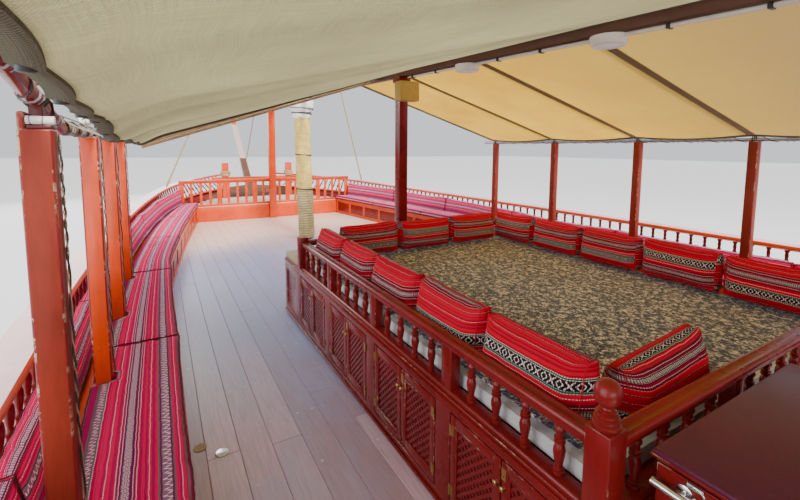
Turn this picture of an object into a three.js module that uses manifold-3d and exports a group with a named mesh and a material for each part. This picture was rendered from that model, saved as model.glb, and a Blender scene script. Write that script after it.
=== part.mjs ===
// A wooden dhow: a decked, round-bilged hull with a long raked stem, a square raked stern, a forward-raked
// mast with a lateen yard, side benches, a raised seating platform amidships and an awning over the after deck.
// Millimetres. +X is forward, +Y is to port, +Z is up. The origin is on the waterline, on the centre line.
import * as THREE from "three";
import { mergeVertices } from "three/addons/utils/BufferGeometryUtils.js";
import Module from "manifold-3d";

const wasm = await Module();
wasm.setup();

// Driving dimensions
const GAP = 0.5; // left between pieces that touch
const DECK = 1100; // main deck above the waterline
const KEEL_LINE = -1500; // underside of the planking at the keel
const KEEL_DEPTH = 250;
const KEEL_HALF = 90; // half the thickness of keel, stem and sternpost
const DECK_THICK = 60;
const FOREDECK_RISE = 340;
const FOREDECK_X = 4750;
const QUARTER_RISE = 420;
const QUARTER_X = -7500;
const BULWARK_THICK = 100;
const BULWARK_RISE = 400;
const CAP_RISE = 760; // top of the cap rail above the main deck
const CAP_THICK = 50;
const CAP_HALF = 90; // half the width of the cap rail
const BALUSTER_PITCH = 140;
const BALUSTER_SIZE = 38;
const STEM_RAKE = 1.35; // forward for each unit of height
const STERN_RAKE = -0.35;
const MAST_X = 2100;
const MAST_RAKE = (5 * Math.PI) / 180;
const MAST_HEIGHT = 7700; // above the main deck
const MAST_R = { foot: 105, head: 62 };
const STAY_HEIGHT = 6000;
const RIDGE_SLOPE = 0.041;
const RIDGE_MID = 2467; // underside of the ridge beam above the deck at X = 0
const RIDGE_DEEP = 120;
const RIDGE_WIDE = 90;
const EAVES = { port: 1700, starboard: 1740 }; // seats of the eaves pipe on the awning posts, above the deck
const AFT_CLIMB = { from: -3450, to: -4850, by: 300 }; // the port eaves pipe climbs between these places, going aft
const POST_Y = 2595;
const POST_SIZE = 78;
const CHEEK = { thick: 20, rise: 46 }; // the part of a post's head that stands up outside the pipe
const PIPE_R = 24;
const PIPE_LIFT = 18; // the eaves pipe's middle above the posts' heads
const PIPE_PAST = { aft: 300, fore: 260 }; // how far the pipe goes on past the end posts
const CHOCK = { along: 25, inner: 18, outer: 14 }; // between a post's head and the pipe where that is higher
const AWNING_AFT = -7900;
const SEAT_TOP = 450; // tops of the seat cushions above the deck
const SEAT_THICK = 90;
const PLATFORM = { aft: -4650, fore: -1160, half: 1240, top: 560, rail: 810, bay: 745, bays: 4 };
const YARD_Y = -430;
const YARD_HOIST = 6600;
const YARD_TILT = (22 * Math.PI) / 180;

// Hull sections: x, half: at deck level; round, hollow: the two exponents of the section's curve;
// lean: how far the section leans along X for each unit of height.
const SECTIONS = [
  { x: -10500, half: 2050, round: 1.0, hollow: 2.2, lean: STERN_RAKE },
  { x: -8900, half: 2500, round: 1.3, hollow: 1.6, lean: -0.22 },
  { x: -6800, half: 2850, round: 1.9, hollow: 1.0, lean: 0 },
  { x: -4300, half: 2920, round: 2.3, hollow: 0.72, lean: 0 },
  { x: -1800, half: 2930, round: 2.3, hollow: 0.72, lean: 0 },
  { x: 700, half: 2800, round: 2.0, hollow: 0.85, lean: 0.12 },
  { x: 2700, half: 2560, round: 1.7, hollow: 1.0, lean: 0.38 },
  { x: 4200, half: 2220, round: 1.5, hollow: 1.1, lean: 0.68 },
  { x: 5300, half: 1720, round: 1.35, hollow: 1.15, lean: 0.95 },
  { x: 6100, half: 1120, round: 1.2, hollow: 1.2, lean: 1.16 },
  { x: 6600, half: 560, round: 1.1, hollow: 1.2, lean: 1.29 },
  { x: 6800, half: 100, round: 1, hollow: 1, lean: STEM_RAKE },
];
const SECTION_STEPS = [0, 0.05, 0.13, 0.24, 0.38, 0.54, 0.7, 0.86, 1];

// Awning posts, from aft to forward
const POSTS = {
  port: [-7000, -5930, -4850, -3750, -2730, -1800, -800],
  starboard: [-6900, -5780, -4660, -3540, -2430, -1230, -30],
};

const PAINT = new THREE.Color(0x7a2a1c);

function material(color, roughness, metalness = 0) {
  return new THREE.MeshStandardMaterial({ color, roughness, metalness });
}
const paint = material(PAINT, 0.45);
const oiledWood = material(0x6b3d22, 0.6);
const bareWood = material(0x9a7a52, 0.7);
const deckWood = material(0x74473c, 0.6);
const iron = material(0x4a4c4e, 0.6, 0.7);
const bronze = material(0xa07a3c, 0.35, 0.9);
const canvas = material(0xc2ad84, 0.9);
const redWeave = material(0xb8141e, 0.9);
const rug = material(0x6f6a52, 0.95);
const matting = material(0xb99a52, 0.9);
const rope = material(0xa08c68, 0.9);
const plastic = material(0xe6e4de, 0.4);
const foam = material(0xdcdcd8, 0.9);

// A closed geometry as a solid for cutting and joining
function solid(geometry) {
  const plain = (geometry.index ? geometry.toNonIndexed() : geometry.clone()).deleteAttribute("normal");
  plain.deleteAttribute("uv");
  const merged = mergeVertices(plain, 1e-3);
  return new wasm.Manifold(
    new wasm.Mesh({
      numProp: 3,
      vertProperties: merged.attributes.position.array,
      triVerts: new Uint32Array(merged.index.array),
    }),
  );
}

function geometryOf(made) {
  const mesh = made.getMesh();
  const geometry = new THREE.BufferGeometry();
  geometry.setAttribute("position", new THREE.BufferAttribute(new Float32Array(mesh.vertProperties), 3));
  geometry.setIndex(new THREE.BufferAttribute(new Uint32Array(mesh.triVerts), 1));
  geometry.computeVertexNormals();
  return geometry;
}

function join(geometries) {
  return geometryOf(geometries.map(solid).reduce((a, b) => a.add(b)));
}

function cut(geometry, tools) {
  return geometryOf(tools.map(solid).reduce((a, b) => a.subtract(b), solid(geometry)));
}

function box(x0, x1, y0, y1, z0, z1) {
  return new THREE.BoxGeometry(x1 - x0, y1 - y0, z1 - z0).translate((x0 + x1) / 2, (y0 + y1) / 2, (z0 + z1) / 2);
}

// An outline of [x, z] points, as thick as y0 to y1
function sidePlate(points, y0, y1) {
  const shape = new THREE.Shape(points.map(([x, z]) => new THREE.Vector2(x, z)));
  const geometry = new THREE.ExtrudeGeometry(shape, { depth: y1 - y0, bevelEnabled: false });
  return geometry.rotateX(Math.PI / 2).translate(0, y1, 0);
}

// A round bar from one point to another
function bar(from, to, r0, r1 = r0, sides = 8) {
  const a = new THREE.Vector3(...from);
  const along = new THREE.Vector3(...to).sub(a);
  const geometry = new THREE.CylinderGeometry(r1, r0, along.length(), sides);
  geometry.translate(0, along.length() / 2, 0);
  const turn = new THREE.Quaternion().setFromUnitVectors(new THREE.Vector3(0, 1, 0), along.normalize());
  return geometry.applyQuaternion(turn).translate(...from);
}

// A turned piece standing on [x, y, z]; its profile is [radius, height] pairs that start and end on the axis
function turned(profile, at, sides) {
  const points = profile.map(([r, h]) => new THREE.Vector2(r, h));
  return new THREE.LatheGeometry(points, sides).rotateX(Math.PI / 2).translate(...at);
}

// A body through rings of equal length, where point j is across from point n - 1 - j
function loft(rings) {
  const n = rings[0].length;
  const index = [];
  const quad = (a, b, c, d) => index.push(a, b, c, a, c, d);
  for (let i = 0; i < rings.length - 1; i++)
    for (let j = 0; j < n; j++) {
      const k = (j + 1) % n;
      quad(i * n + j, i * n + k, (i + 1) * n + k, (i + 1) * n + j);
    }
  const end = (rings.length - 1) * n;
  for (let j = 0; j < n / 2 - 1; j++) {
    quad(j, n - 1 - j, n - 2 - j, j + 1);
    quad(end + j, end + j + 1, end + n - 2 - j, end + n - 1 - j);
  }
  const flat = rings.flat();
  let volume = 0;
  for (let t = 0; t < index.length; t += 3) {
    const [a, b, c] = [0, 1, 2].map((k) => new THREE.Vector3(...flat[index[t + k]]));
    volume += a.dot(b.cross(c));
  }
  if (volume < 0) index.reverse();
  const geometry = new THREE.BufferGeometry();
  geometry.setAttribute("position", new THREE.BufferAttribute(new Float32Array(flat.flat()), 3));
  return geometry.setIndex(index);
}

// The section at any deck-level x, on a fair curve through the rows of SECTIONS
function sectionAt(x) {
  const last = SECTIONS.length - 1;
  const k = Math.min(last - 1, Math.max(0, SECTIONS.findIndex((s) => s.x > x) - 1));
  const i = x >= SECTIONS[last].x ? last - 1 : k;
  const [a, b, c, d] = [i - 1, i, i + 1, i + 2].map((n) => SECTIONS[Math.min(last, Math.max(0, n))]);
  const step = c.x - b.x;
  const t = Math.min(1, Math.max(0, (x - b.x) / step));
  const fair = (key) => {
    const inSlope = (step * (c[key] - a[key])) / (c.x - a.x);
    const outSlope = (step * (d[key] - b[key])) / (d.x - b.x);
    const [t2, t3] = [t * t, t * t * t];
    return (2 * t3 - 3 * t2 + 1) * b[key] + (t3 - 2 * t2 + t) * inSlope + (3 * t2 - 2 * t3) * c[key] + (t3 - t2) * outSlope;
  };
  return { x, half: fair("half"), round: fair("round"), hollow: fair("hollow"), lean: fair("lean") };
}

function leanTo(section, z) {
  return section.x + section.lean * (z - DECK);
}

// Deck-level x of the section that passes through x at height z
function stationOf(x, z) {
  let low = SECTIONS[0].x;
  let high = SECTIONS[SECTIONS.length - 1].x;
  for (let i = 0; i < 40; i++) {
    const middle = (low + high) / 2;
    if (leanTo(sectionAt(middle), z) < x) low = middle;
    else high = middle;
  }
  return (low + high) / 2;
}

// Half breadth of the topsides at x and height z, at or above the deck
function halfAt(x, z) {
  return sectionAt(stationOf(x, z)).half;
}

function sheer(x) {
  if (x > 0) return 190 * (x / 8000) ** 2;
  if (x < -6000) return 420 * ((-6000 - x) / 4600) ** 2;
  return 0;
}

// Section stations with one more between each two, so that curves read as curves
const STATIONS = SECTIONS.flatMap((s, i) => (SECTIONS[i + 1] ? [s.x, (s.x + SECTIONS[i + 1].x) / 2] : [s.x]));

function hullRing(section) {
  const port = SECTION_STEPS.map((t) => {
    const z = KEEL_LINE + (DECK - DECK_THICK - KEEL_LINE) * t;
    const share = (1 - (1 - t) ** section.round) ** section.hollow;
    return [leanTo(section, z), KEEL_HALF + (section.half - KEEL_HALF) * share, z];
  }).reverse();
  return [...port, ...port.map(([x, y, z]) => [x, -y, z]).reverse()];
}

const ENGINE = { x0: -7300, x1: -5700, half: 420, z0: -350, z1: 600 };
const SHAFT_Z = -830;
const STERN_LINE = (z) => leanTo(SECTIONS[0], z);
const APERTURE = { fore: -8850, z0: -1400, z1: -260 };

function hull() {
  const whole = loft(STATIONS.map((x) => hullRing(sectionAt(x))));
  const pocket = box(
    ENGINE.x0 - 150, ENGINE.x1 + 150, -ENGINE.half - 150, ENGINE.half + 150, ENGINE.z0 - GAP, DECK,
  );
  const window = box(-10600, APERTURE.fore, -900, 900, APERTURE.z0, APERTURE.z1);
  return cut(whole, [pocket, window]);
}

// Keel, stem and sternpost in one backbone, with the gudgeons that the rudder hangs on
const RUDDER_AXIS_BACK = 250; // the rudder's axis behind the transom's line
const POST_DEEP = 200;
const HINGES = [-1150, -250, 750];
function backbone() {
  const bottom = KEEL_LINE - KEEL_DEPTH;
  const stemX = (z) => SECTIONS[SECTIONS.length - 1].x + STEM_RAKE * (z - DECK) + GAP;
  const headZ = DECK + 3050;
  const keel = sidePlate(
    [
      [STERN_LINE(bottom) - POST_DEEP, bottom],
      [stemX(bottom) + 300, bottom],
      [stemX(KEEL_LINE) + 420, KEEL_LINE],
      [stemX(KEEL_LINE), KEEL_LINE - GAP],
      [STERN_LINE(bottom) - POST_DEEP, KEEL_LINE - GAP],
    ],
    -KEEL_HALF, KEEL_HALF,
  );
  const stem = loft(
    [
      { z: KEEL_LINE - 100, deep: 420, half: KEEL_HALF },
      { z: DECK, deep: 420, half: KEEL_HALF },
      { z: DECK + 850, deep: 400, half: KEEL_HALF },
      { z: DECK + 1900, deep: 300, half: 80 },
      { z: headZ, deep: 150, half: 60 },
    ].map(({ z, deep, half }) => {
      const x = stemX(z);
      return [[x, half, z], [x + deep, half * 0.7, z], [x + deep, -half * 0.7, z], [x, -half, z]];
    }),
  );
  const aft = (z) => STERN_LINE(z) - GAP;
  const sternpost = sidePlate(
    [
      [aft(bottom) - POST_DEEP, bottom],
      [aft(bottom), bottom],
      [aft(DECK + 200), DECK + 200],
      [aft(DECK + 200) - POST_DEEP, DECK + 200],
    ],
    -KEEL_HALF, KEEL_HALF,
  );
  const gudgeons = HINGES.map((z) => {
    const x = STERN_LINE(z) - POST_DEEP;
    return box(x - 66, x + 60, -20, 20, z, z + 70);
  });
  return join([keel, stem, sternpost, ...gudgeons]);
}

// A slab between two heights, inside the topsides by an inset; its end towards square is upright
function slab(x0, x1, z0, z1, inset) {
  const upright = (x) => [x, x, halfAt(x, z0), halfAt(x, z1)];
  const leaning = (x) => [leanTo(sectionAt(x), z0), leanTo(sectionAt(x), z1), sectionAt(x).half, sectionAt(x).half];
  const between = STATIONS.filter((x) => x > x0 && leanTo(sectionAt(x), z0) > x0 + 60 && x < x1 - 60);
  return loft(
    [upright(x0), ...between.map(leaning), x1 > 0 ? leaning(x1) : upright(x1)].map(([low, high, lowHalf, highHalf]) => {
      const [a, b] = [Math.max(40, lowHalf - inset), Math.max(40, highHalf - inset)];
      return [[high, b, z1], [low, a, z0], [low, -a, z0], [high, -b, z1]];
    }),
  );
}

function mainDeck() {
  const rings = STATIONS.map(sectionAt).map((s) => {
    const low = DECK - DECK_THICK + GAP;
    const x = [leanTo(s, DECK), leanTo(s, low)];
    return [[x[0], s.half, DECK], [x[1], s.half, low], [x[1], -s.half, low], [x[0], -s.half, DECK]];
  });
  return loft(rings);
}

// One side's bulwark: side is 1 to port and -1 to starboard
function bulwark(side) {
  const rings = STATIONS.map((x) => {
    const s = sectionAt(x);
    const low = DECK + GAP;
    const high = DECK + BULWARK_RISE + sheer(leanTo(s, DECK + BULWARK_RISE));
    const inside = Math.max(KEEL_HALF + 4, s.half - BULWARK_THICK);
    const outside = Math.max(inside + 24, s.half);
    return [
      [leanTo(s, low), side * outside, low],
      [leanTo(s, high), side * outside, high],
      [leanTo(s, high), side * inside, high],
      [leanTo(s, low), side * inside, low],
    ];
  });
  return loft(rings);
}

// One side's rail line: the middle of the bulwark at a height above the deck and the sheer
function railLine(side, rise) {
  return STATIONS.map((station) => {
    const x = leanTo(sectionAt(station), DECK + rise);
    const half = Math.max(KEEL_HALF + 12 + CAP_HALF, sectionAt(station).half - BULWARK_THICK / 2);
    return { x, y: side * half, z: DECK + rise + sheer(x) };
  });
}

function pointOn(line, x) {
  const k = Math.max(1, line.findIndex((point) => point.x > x));
  const [a, b] = [line[k - 1], line[k]];
  const share = (x - a.x) / (b.x - a.x);
  return { x, y: a.y + (b.y - a.y) * share, z: a.z + (b.z - a.z) * share };
}

// The cap rail with the balusters that carry it
const RAIL_OVERHANG = 120;
function capRail(side) {
  const line = railLine(side, CAP_RISE);
  const foot = railLine(side, BULWARK_RISE);
  const ends = [pointOn(line, line[0].x - RAIL_OVERHANG), pointOn(line, line[line.length - 1].x - 1)];
  const cap = loft(
    [ends[0], ...line.slice(1, -1), ends[1]].map(({ x, y, z }) => [
      [x, y - CAP_HALF, z], [x, y - CAP_HALF, z - CAP_THICK], [x, y + CAP_HALF, z - CAP_THICK], [x, y + CAP_HALF, z],
    ]),
  );
  const h = BALUSTER_SIZE / 2;
  const balusters = [];
  for (let x = foot[0].x + 160; x < foot[foot.length - 1].x - 160; x += BALUSTER_PITCH) {
    const [low, high] = [pointOn(foot, x), pointOn(line, x)];
    const ring = ({ y }, z) => [[x - h, y - h, z], [x + h, y - h, z], [x + h, y + h, z], [x - h, y + h, z]];
    balusters.push(loft([ring(low, low.z + 12), ring(high, high.z - CAP_THICK / 2)]));
  }
  return join([cap, ...balusters]);
}

function foredeck() {
  return slab(FOREDECK_X, 6560, DECK + GAP, DECK + FOREDECK_RISE, BULWARK_THICK + 45);
}

function quarterdeck() {
  return slab(-10440, QUARTER_X, DECK + GAP, DECK + QUARTER_RISE, BULWARK_THICK + 15);
}

// The transom board above the deck, with its rail
function transom() {
  const line = (z) => STERN_LINE(z) - GAP;
  const top = DECK + CAP_RISE + sheer(-10700) - CAP_THICK - 2;
  const ring = (z, half) => {
    const x = line(z);
    return [[x, half, z], [x - 80, half, z], [x - 80, -half, z], [x, -half, z]];
  };
  const board = loft([ring(DECK + GAP, 2040), ring(DECK + 420, 2040), ring(top - 250, 1990), ring(top, 1960)]);
  const post = box(-11000, -10000, -KEEL_HALF - 5, KEEL_HALF + 5, DECK - 10, DECK + 205);
  return cut(board, [post]);
}

// The rail across the step up to the foredeck, with flat boards and wider posts
function foreRail() {
  const x = FOREDECK_X + 60;
  const foot = DECK + FOREDECK_RISE + GAP;
  const top = DECK + 930;
  const half = halfAt(x - 45, foot) - BULWARK_THICK - 50;
  const pieces = [
    box(x - 45, x + 45, -half, half, top - 45, top),
    box(x - 22, x + 22, -half, half, foot, foot + 40),
  ];
  for (let i = 0; i <= 20; i++) {
    const y = -half + 50 + (i * (2 * half - 100)) / 20;
    const wide = i % 4 === 0 ? 50 : 24;
    pieces.push(box(x - 16, x + 16, y - wide, y + wide, foot + 20, top - 20));
  }
  return join(pieces);
}

// Two mooring bitts through a cross beam
const BITT_X = 6350;
function bitts() {
  const foot = DECK + FOREDECK_RISE + GAP;
  const beam = box(BITT_X - 60, BITT_X + 60, -1150, 1150, DECK + 760, DECK + 880);
  const posts = [-820, 820].map((y) => box(BITT_X - 75, BITT_X + 75, y - 75, y + 75, foot, DECK + 1250));
  return join([beam, ...posts]);
}

const ridgeZ = (x) => DECK + RIDGE_MID + RIDGE_SLOPE * x;
const RIDGE_AFT = AWNING_AFT + 80;
const FORE_POST_X = FOREDECK_X - 55;

function forePost() {
  const x = FORE_POST_X;
  const top = ridgeZ(x) - 3;
  const knee = sidePlate([[x - 40, top - 380], [x - 40, top], [x - 300, top - 12], [x - 120, top - 150]], -35, 35);
  return join([box(x - 50, x + 50, -75, 75, DECK + GAP, top), knee]);
}

const mastAt = (h) => [MAST_X + Math.tan(MAST_RAKE) * h, 0, DECK + h];
function mast() {
  const pole = bar(mastAt(GAP + 12), mastAt(MAST_HEIGHT), MAST_R.foot, MAST_R.head, 12);
  const block = box(-60, 60, -90, 90, -140, 140).translate(...mastAt(MAST_HEIGHT - 160));
  return join([pole, block]);
}

function ridgeBeam() {
  const fore = FORE_POST_X + 90;
  const aft = RIDGE_AFT;
  const beam = sidePlate(
    [[aft, ridgeZ(aft)], [fore, ridgeZ(fore)], [fore, ridgeZ(fore) + RIDGE_DEEP], [aft, ridgeZ(aft) + RIDGE_DEEP]],
    -RIDGE_WIDE / 2, RIDGE_WIDE / 2,
  );
  const m = mastAt(RIDGE_MID + 100);
  const collar = bar([m[0] - 12, 0, m[2] - 190], [m[0] + 12, 0, m[2] + 190], 210, 210, 12);
  const hole = bar([m[0] - 26, 0, m[2] - 300], [m[0] + 26, 0, m[2] + 300], 170, 170, 12);
  return cut(join([beam, collar]), [hole]);
}

// The matting lashed round the foot of the mast: a sleeve that the mast passes through
const PADDING_TOP = 2380;
function mastPadding() {
  const outer = bar(mastAt(20), mastAt(PADDING_TOP), 150, 146, 14);
  const inner = bar(mastAt(-40), mastAt(PADDING_TOP + 60), 112, 100, 12);
  return cut(outer, [inner]);
}

function midPost() {
  const x = -1340;
  return join([
    box(x - 50, x + 50, -50, 50, DECK + PLATFORM.top + GAP + 1, ridgeZ(x) - 3),
    box(x - 70, x + 70, -70, 70, ridgeZ(x) - 60, ridgeZ(x) - 4),
    box(x - 175, x - 45, -110, 110, ridgeZ(x) - 260, ridgeZ(x) - 66),
  ]);
}

function aftPost() {
  const x = RIDGE_AFT + 120;
  return box(x - 55, x + 55, -55, 55, DECK + QUARTER_RISE + GAP, ridgeZ(x) - 3);
}

const eavesOf = (side) => DECK + (side > 0 ? EAVES.port : EAVES.starboard);
const climbOf = (side, x) => {
  const share = (AFT_CLIMB.from - x) / (AFT_CLIMB.from - AFT_CLIMB.to);
  return side > 0 ? AFT_CLIMB.by * Math.min(1, Math.max(0, share)) : 0;
};
const pipeZ = (side, x) => eavesOf(side) + climbOf(side, x) + PIPE_LIFT;

// Posts of one side, each with a cheek outside the eaves pipe that lies along their heads.
// Where the pipe passes above a post's head as it climbs, a chock fills the space.
function awningPosts(side, places) {
  const y = side * POST_Y;
  const h = POST_SIZE / 2;
  const foot = DECK + SEAT_TOP - SEAT_THICK + 2;
  const cheek = [side * (POST_Y + h - CHEEK.thick), side * (POST_Y + h)].sort((a, b) => a - b);
  const posts = places.flatMap((x) => {
    const head = eavesOf(side) + (x > AFT_CLIMB.to ? 0 : climbOf(side, x));
    const post = box(x - h, x + h, y - h, y + h, foot, head);
    const outside = box(x - h, x + h, ...cheek, head - 10, head + CHEEK.rise);
    const { along, inner, outer } = CHOCK;
    const chock = box(x - along, x + along, y - inner, y + outer, head - 10, pipeZ(side, x));
    return pipeZ(side, x) > head + PIPE_R ? [post, outside, chock] : [post, outside];
  });
  const bends = side > 0 ? [AFT_CLIMB.to, AFT_CLIMB.from] : [];
  const stops = [places[0] - PIPE_PAST.aft, ...bends, places[places.length - 1] + PIPE_PAST.fore];
  const pipes = stops.slice(1).map((x, i) => bar([stops[i], y, pipeZ(side, stops[i])], [x, y, pipeZ(side, x)], PIPE_R));
  return join([...pipes, ...posts]);
}

// Poles from the ridge to the eaves pipe, joined by a ledger along the ridge
const POLE_R = 19;
const LEDGER_R = 21;
const FRAME_OVERHANG = 60; // how far the ledger goes on past the end poles
function awningFrame(side, places) {
  const inner = side * (RIDGE_WIDE / 2 + LEDGER_R + 3);
  const atRidge = (x) => [x, inner, ridgeZ(x) + RIDGE_DEEP - LEDGER_R - 1];
  const atEaves = (x) => [x, side * (POST_Y + 30), pipeZ(side, x) + PIPE_R + POLE_R + 8];
  const poles = places.map((x) => bar(atRidge(x), atEaves(x), POLE_R, POLE_R, 6));
  const ends = [places[0] - FRAME_OVERHANG, places[places.length - 1] + FRAME_OVERHANG];
  return join([bar(...ends.map(atRidge), LEDGER_R, LEDGER_R, 6), ...poles]);
}

// One half of the awning: a thin sheet that hangs under the poles, from the ridge beam's side to the eaves
const CLOTH_THICK = 8;
const CLOTH_INNER = { y: RIDGE_WIDE / 2 + 6, rise: 70 }; // above the ridge beam's underside
// The cloth's outer edge above the posts' heads, its share of the pipe's climb, and its fore end past the last pole
const CLOTH_OUTER = {
  port: { y: POST_Y - 115, rise: 32, climb: 0.36, past: -36 },
  starboard: { y: POST_Y - 40, rise: 60, climb: 0, past: 60 },
};
const CLOTH_SAG = 34; // of the cloth between two poles
function awning(side, places) {
  const outer = side > 0 ? CLOTH_OUTER.port : CLOTH_OUTER.starboard;
  const stops = [AWNING_AFT + 150, ...places.slice(0, -1), places[places.length - 1] + outer.past];
  const xs = stops.flatMap((x, i) => (i ? [(stops[i - 1] + x) / 2, x] : [x]));
  const across = 6;
  const rings = xs.map((x, i) => {
    const sag = i % 2 ? CLOTH_SAG : 0;
    const point = (t, lift) => {
      const y = side * (CLOTH_INNER.y + (outer.y - CLOTH_INNER.y) * t);
      const ridge = ridgeZ(x) + CLOTH_INNER.rise;
      const eaves = eavesOf(side) + outer.rise + outer.climb * climbOf(side, x);
      const z = ridge + (eaves - ridge) * t - sag * Math.sin((Math.PI * t * 2) / 3);
      return [x, y, z - lift];
    };
    const over = Array.from({ length: across + 1 }, (_, j) => point(j / across, 0));
    const under = Array.from({ length: across + 1 }, (_, j) => point(j / across, CLOTH_THICK)).reverse();
    return [...over, ...under];
  });
  return loft(rings);
}

// White trunking and round lamps under the ridge beam
const LAMPS = [-6200, -3740, -2450];
function ridgeLights() {
  const z = (x) => ridgeZ(x) - 2;
  const from = -7600;
  const to = -1480;
  const trunking = sidePlate([[from, z(from) - 26], [to, z(to) - 26], [to, z(to)], [from, z(from)]], -18, 18);
  const lamps = LAMPS.map((x) => bar([x, 0, z(x) - 62], [x, 0, z(x) - 6], 96, 104, 16));
  return join([trunking, ...lamps]);
}

// The side bench: a boxed-in seat along the bulwark, narrowing towards the bow
const BENCH_AFT = QUARTER_X + GAP + 3;
const BENCH_FORE = FOREDECK_X - 8;
const seatEdge = (x) => (x < -300 ? 2230 : 2230 - 640 * ((x + 300) / 5050) ** 1.25);
const BENCH_STOPS = [BENCH_AFT, -4300, -1800, -300, 700, 1700, 2700, 3700, BENCH_FORE];

function bench(side) {
  const rings = BENCH_STOPS.map((x) => {
    const high = DECK + SEAT_TOP - SEAT_THICK;
    const low = DECK + GAP;
    const out = halfAt(x, low) - BULWARK_THICK - 24;
    const edge = side * (seatEdge(x) + 25);
    return [[x, edge, high], [x, edge, low], [x, side * out, low], [x, side * out, high]];
  });
  return loft(rings);
}

const BACK_DEEP = 150; // how far the back cushions reach in over the bench
const BACK_DROP = { most: 70, from: 700, to: -1000 }; // how far their tops are below the cap rail's foot, from x to x
const bulwarkInside = (x, z) => halfAt(x, z) - BULWARK_THICK;

// Seat cushions that fill the bench up to the back cushions and are notched round the awning posts
function seatCushions(side, places) {
  const low = DECK + SEAT_TOP - SEAT_THICK + 4;
  const high = DECK + SEAT_TOP;
  const soft = 22;
  const rings = BENCH_STOPS.map((x) => {
    const out = bulwarkInside(x, low) - BACK_DEEP - 36;
    const edge = seatEdge(x);
    return [
      [x, side * (edge + soft), high], [x, side * edge, high - soft], [x, side * (edge + 4), low],
      [x, side * out, low], [x, side * (out + 2), high - soft], [x, side * (out - soft), high],
    ];
  });
  const reach = POST_SIZE / 2 + 5;
  const across = [side * (POST_Y - reach), side * (POST_Y + 3 * reach)].sort((a, b) => a - b);
  return cut(loft(rings), places.map((x) => box(x - reach, x + reach, ...across, low - 20, high + 20)));
}

// Cushions that lean on the rail, thinner where they would touch a post
function backCushions(side, places) {
  const reach = POST_SIZE / 2 + 12;
  const stops = BENCH_STOPS.map((x) => [x, false]);
  for (const x of places) stops.push([x - reach - 25, false], [x - reach, true], [x + reach, true], [x + reach + 25, false]);
  stops.sort((a, b) => a[0] - b[0]);
  const low = DECK + SEAT_TOP - SEAT_THICK + 6;
  return loft(stops.map(([x, behind]) => {
    const drop = BACK_DROP.most * Math.min(1, Math.max(0, (BACK_DROP.from - x) / (BACK_DROP.from - BACK_DROP.to)));
    const high = DECK + CAP_RISE - CAP_THICK - 12 + sheer(x) - drop;
    const outLow = Math.min(bulwarkInside(x, low), bulwarkInside(x, high)) - 12;
    const inLow = Math.max(outLow - BACK_DEEP, behind ? POST_Y + POST_SIZE / 2 + 8 : 0);
    const inHigh = Math.max(outLow - BACK_DEEP * 0.6, inLow);
    return [
      [x, side * inHigh, high - 30], [x, side * inLow, low + 90], [x, side * inLow, low],
      [x, side * outLow, low], [x, side * outLow, high], [x, side * (inHigh + 20), high],
    ];
  }));
}

// The platform's carcass, with the door openings cut in its port and starboard faces
const DOOR = { width: 306, height: 420, foot: 75, thick: 26 };
const LOCKER_DEEP = 900;
const bayX = (i) => PLATFORM.aft + 45 + PLATFORM.bay * i;
const leafCentre = (bay, leaf) => bayX(bay) + PLATFORM.bay / 2 + (leaf ? 1 : -1) * (DOOR.width / 2 + 4);

function platform() {
  const { aft, fore, half, top } = PLATFORM;
  const body = box(aft, fore, -half, half, DECK + GAP, DECK + top);
  const pockets = [];
  const panels = [[1, -1520, -1230]];
  for (let bay = 0; bay < PLATFORM.bays; bay++) {
    const x0 = leafCentre(bay, 0) - DOOR.width / 2 - 8;
    const x1 = leafCentre(bay, 1) + DOOR.width / 2 + 8;
    pockets.push(box(x0, x1, half - LOCKER_DEEP, half + 5, DECK + DOOR.foot - 8, DECK + DOOR.foot + DOOR.height + 8));
    for (const leaf of [0, 1]) panels.push([-1, leafCentre(bay, leaf) - 120, leafCentre(bay, leaf) + 120]);
  }
  const sunk = panels.map(([side, x0, x1]) => {
    const y0 = side > 0 ? half - 10 : -half - 5;
    return box(x0, x1, y0, y0 + 15, DECK + DOOR.foot + 42, DECK + DOOR.foot + DOOR.height - 42);
  });
  return cut(body, [...pockets, ...sunk]);
}

// A door leaf: a frame round a sunk panel
function doorLeaf(bay, leaf, side) {
  const x = leafCentre(bay, leaf);
  const w = DOOR.width / 2;
  const z0 = DECK + DOOR.foot;
  const z1 = z0 + DOOR.height;
  const face = side * PLATFORM.half;
  const [y0, y1] = [Math.min(face, face - side * DOOR.thick), Math.max(face, face - side * DOOR.thick)];
  const sunk = [face - side * 10, face + side * 5].sort((a, b) => a - b);
  return cut(box(x - w, x + w, y0, y1, z0, z1), [box(x - w + 32, x + w - 32, ...sunk, z0 + 42, z1 - 42)]);
}

// Turned balusters, corner newels and a moulded top rail round the platform
const NEWEL = 84;
function balusterProfile(height) {
  const shape = [[15, 0], [21, 0.18], [13, 0.3], [21, 0.5], [13, 0.7], [21, 0.82], [15, 1]];
  return [[0, 0], ...shape.map(([r, h]) => [r, h * height]), [0, height]];
}

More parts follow.
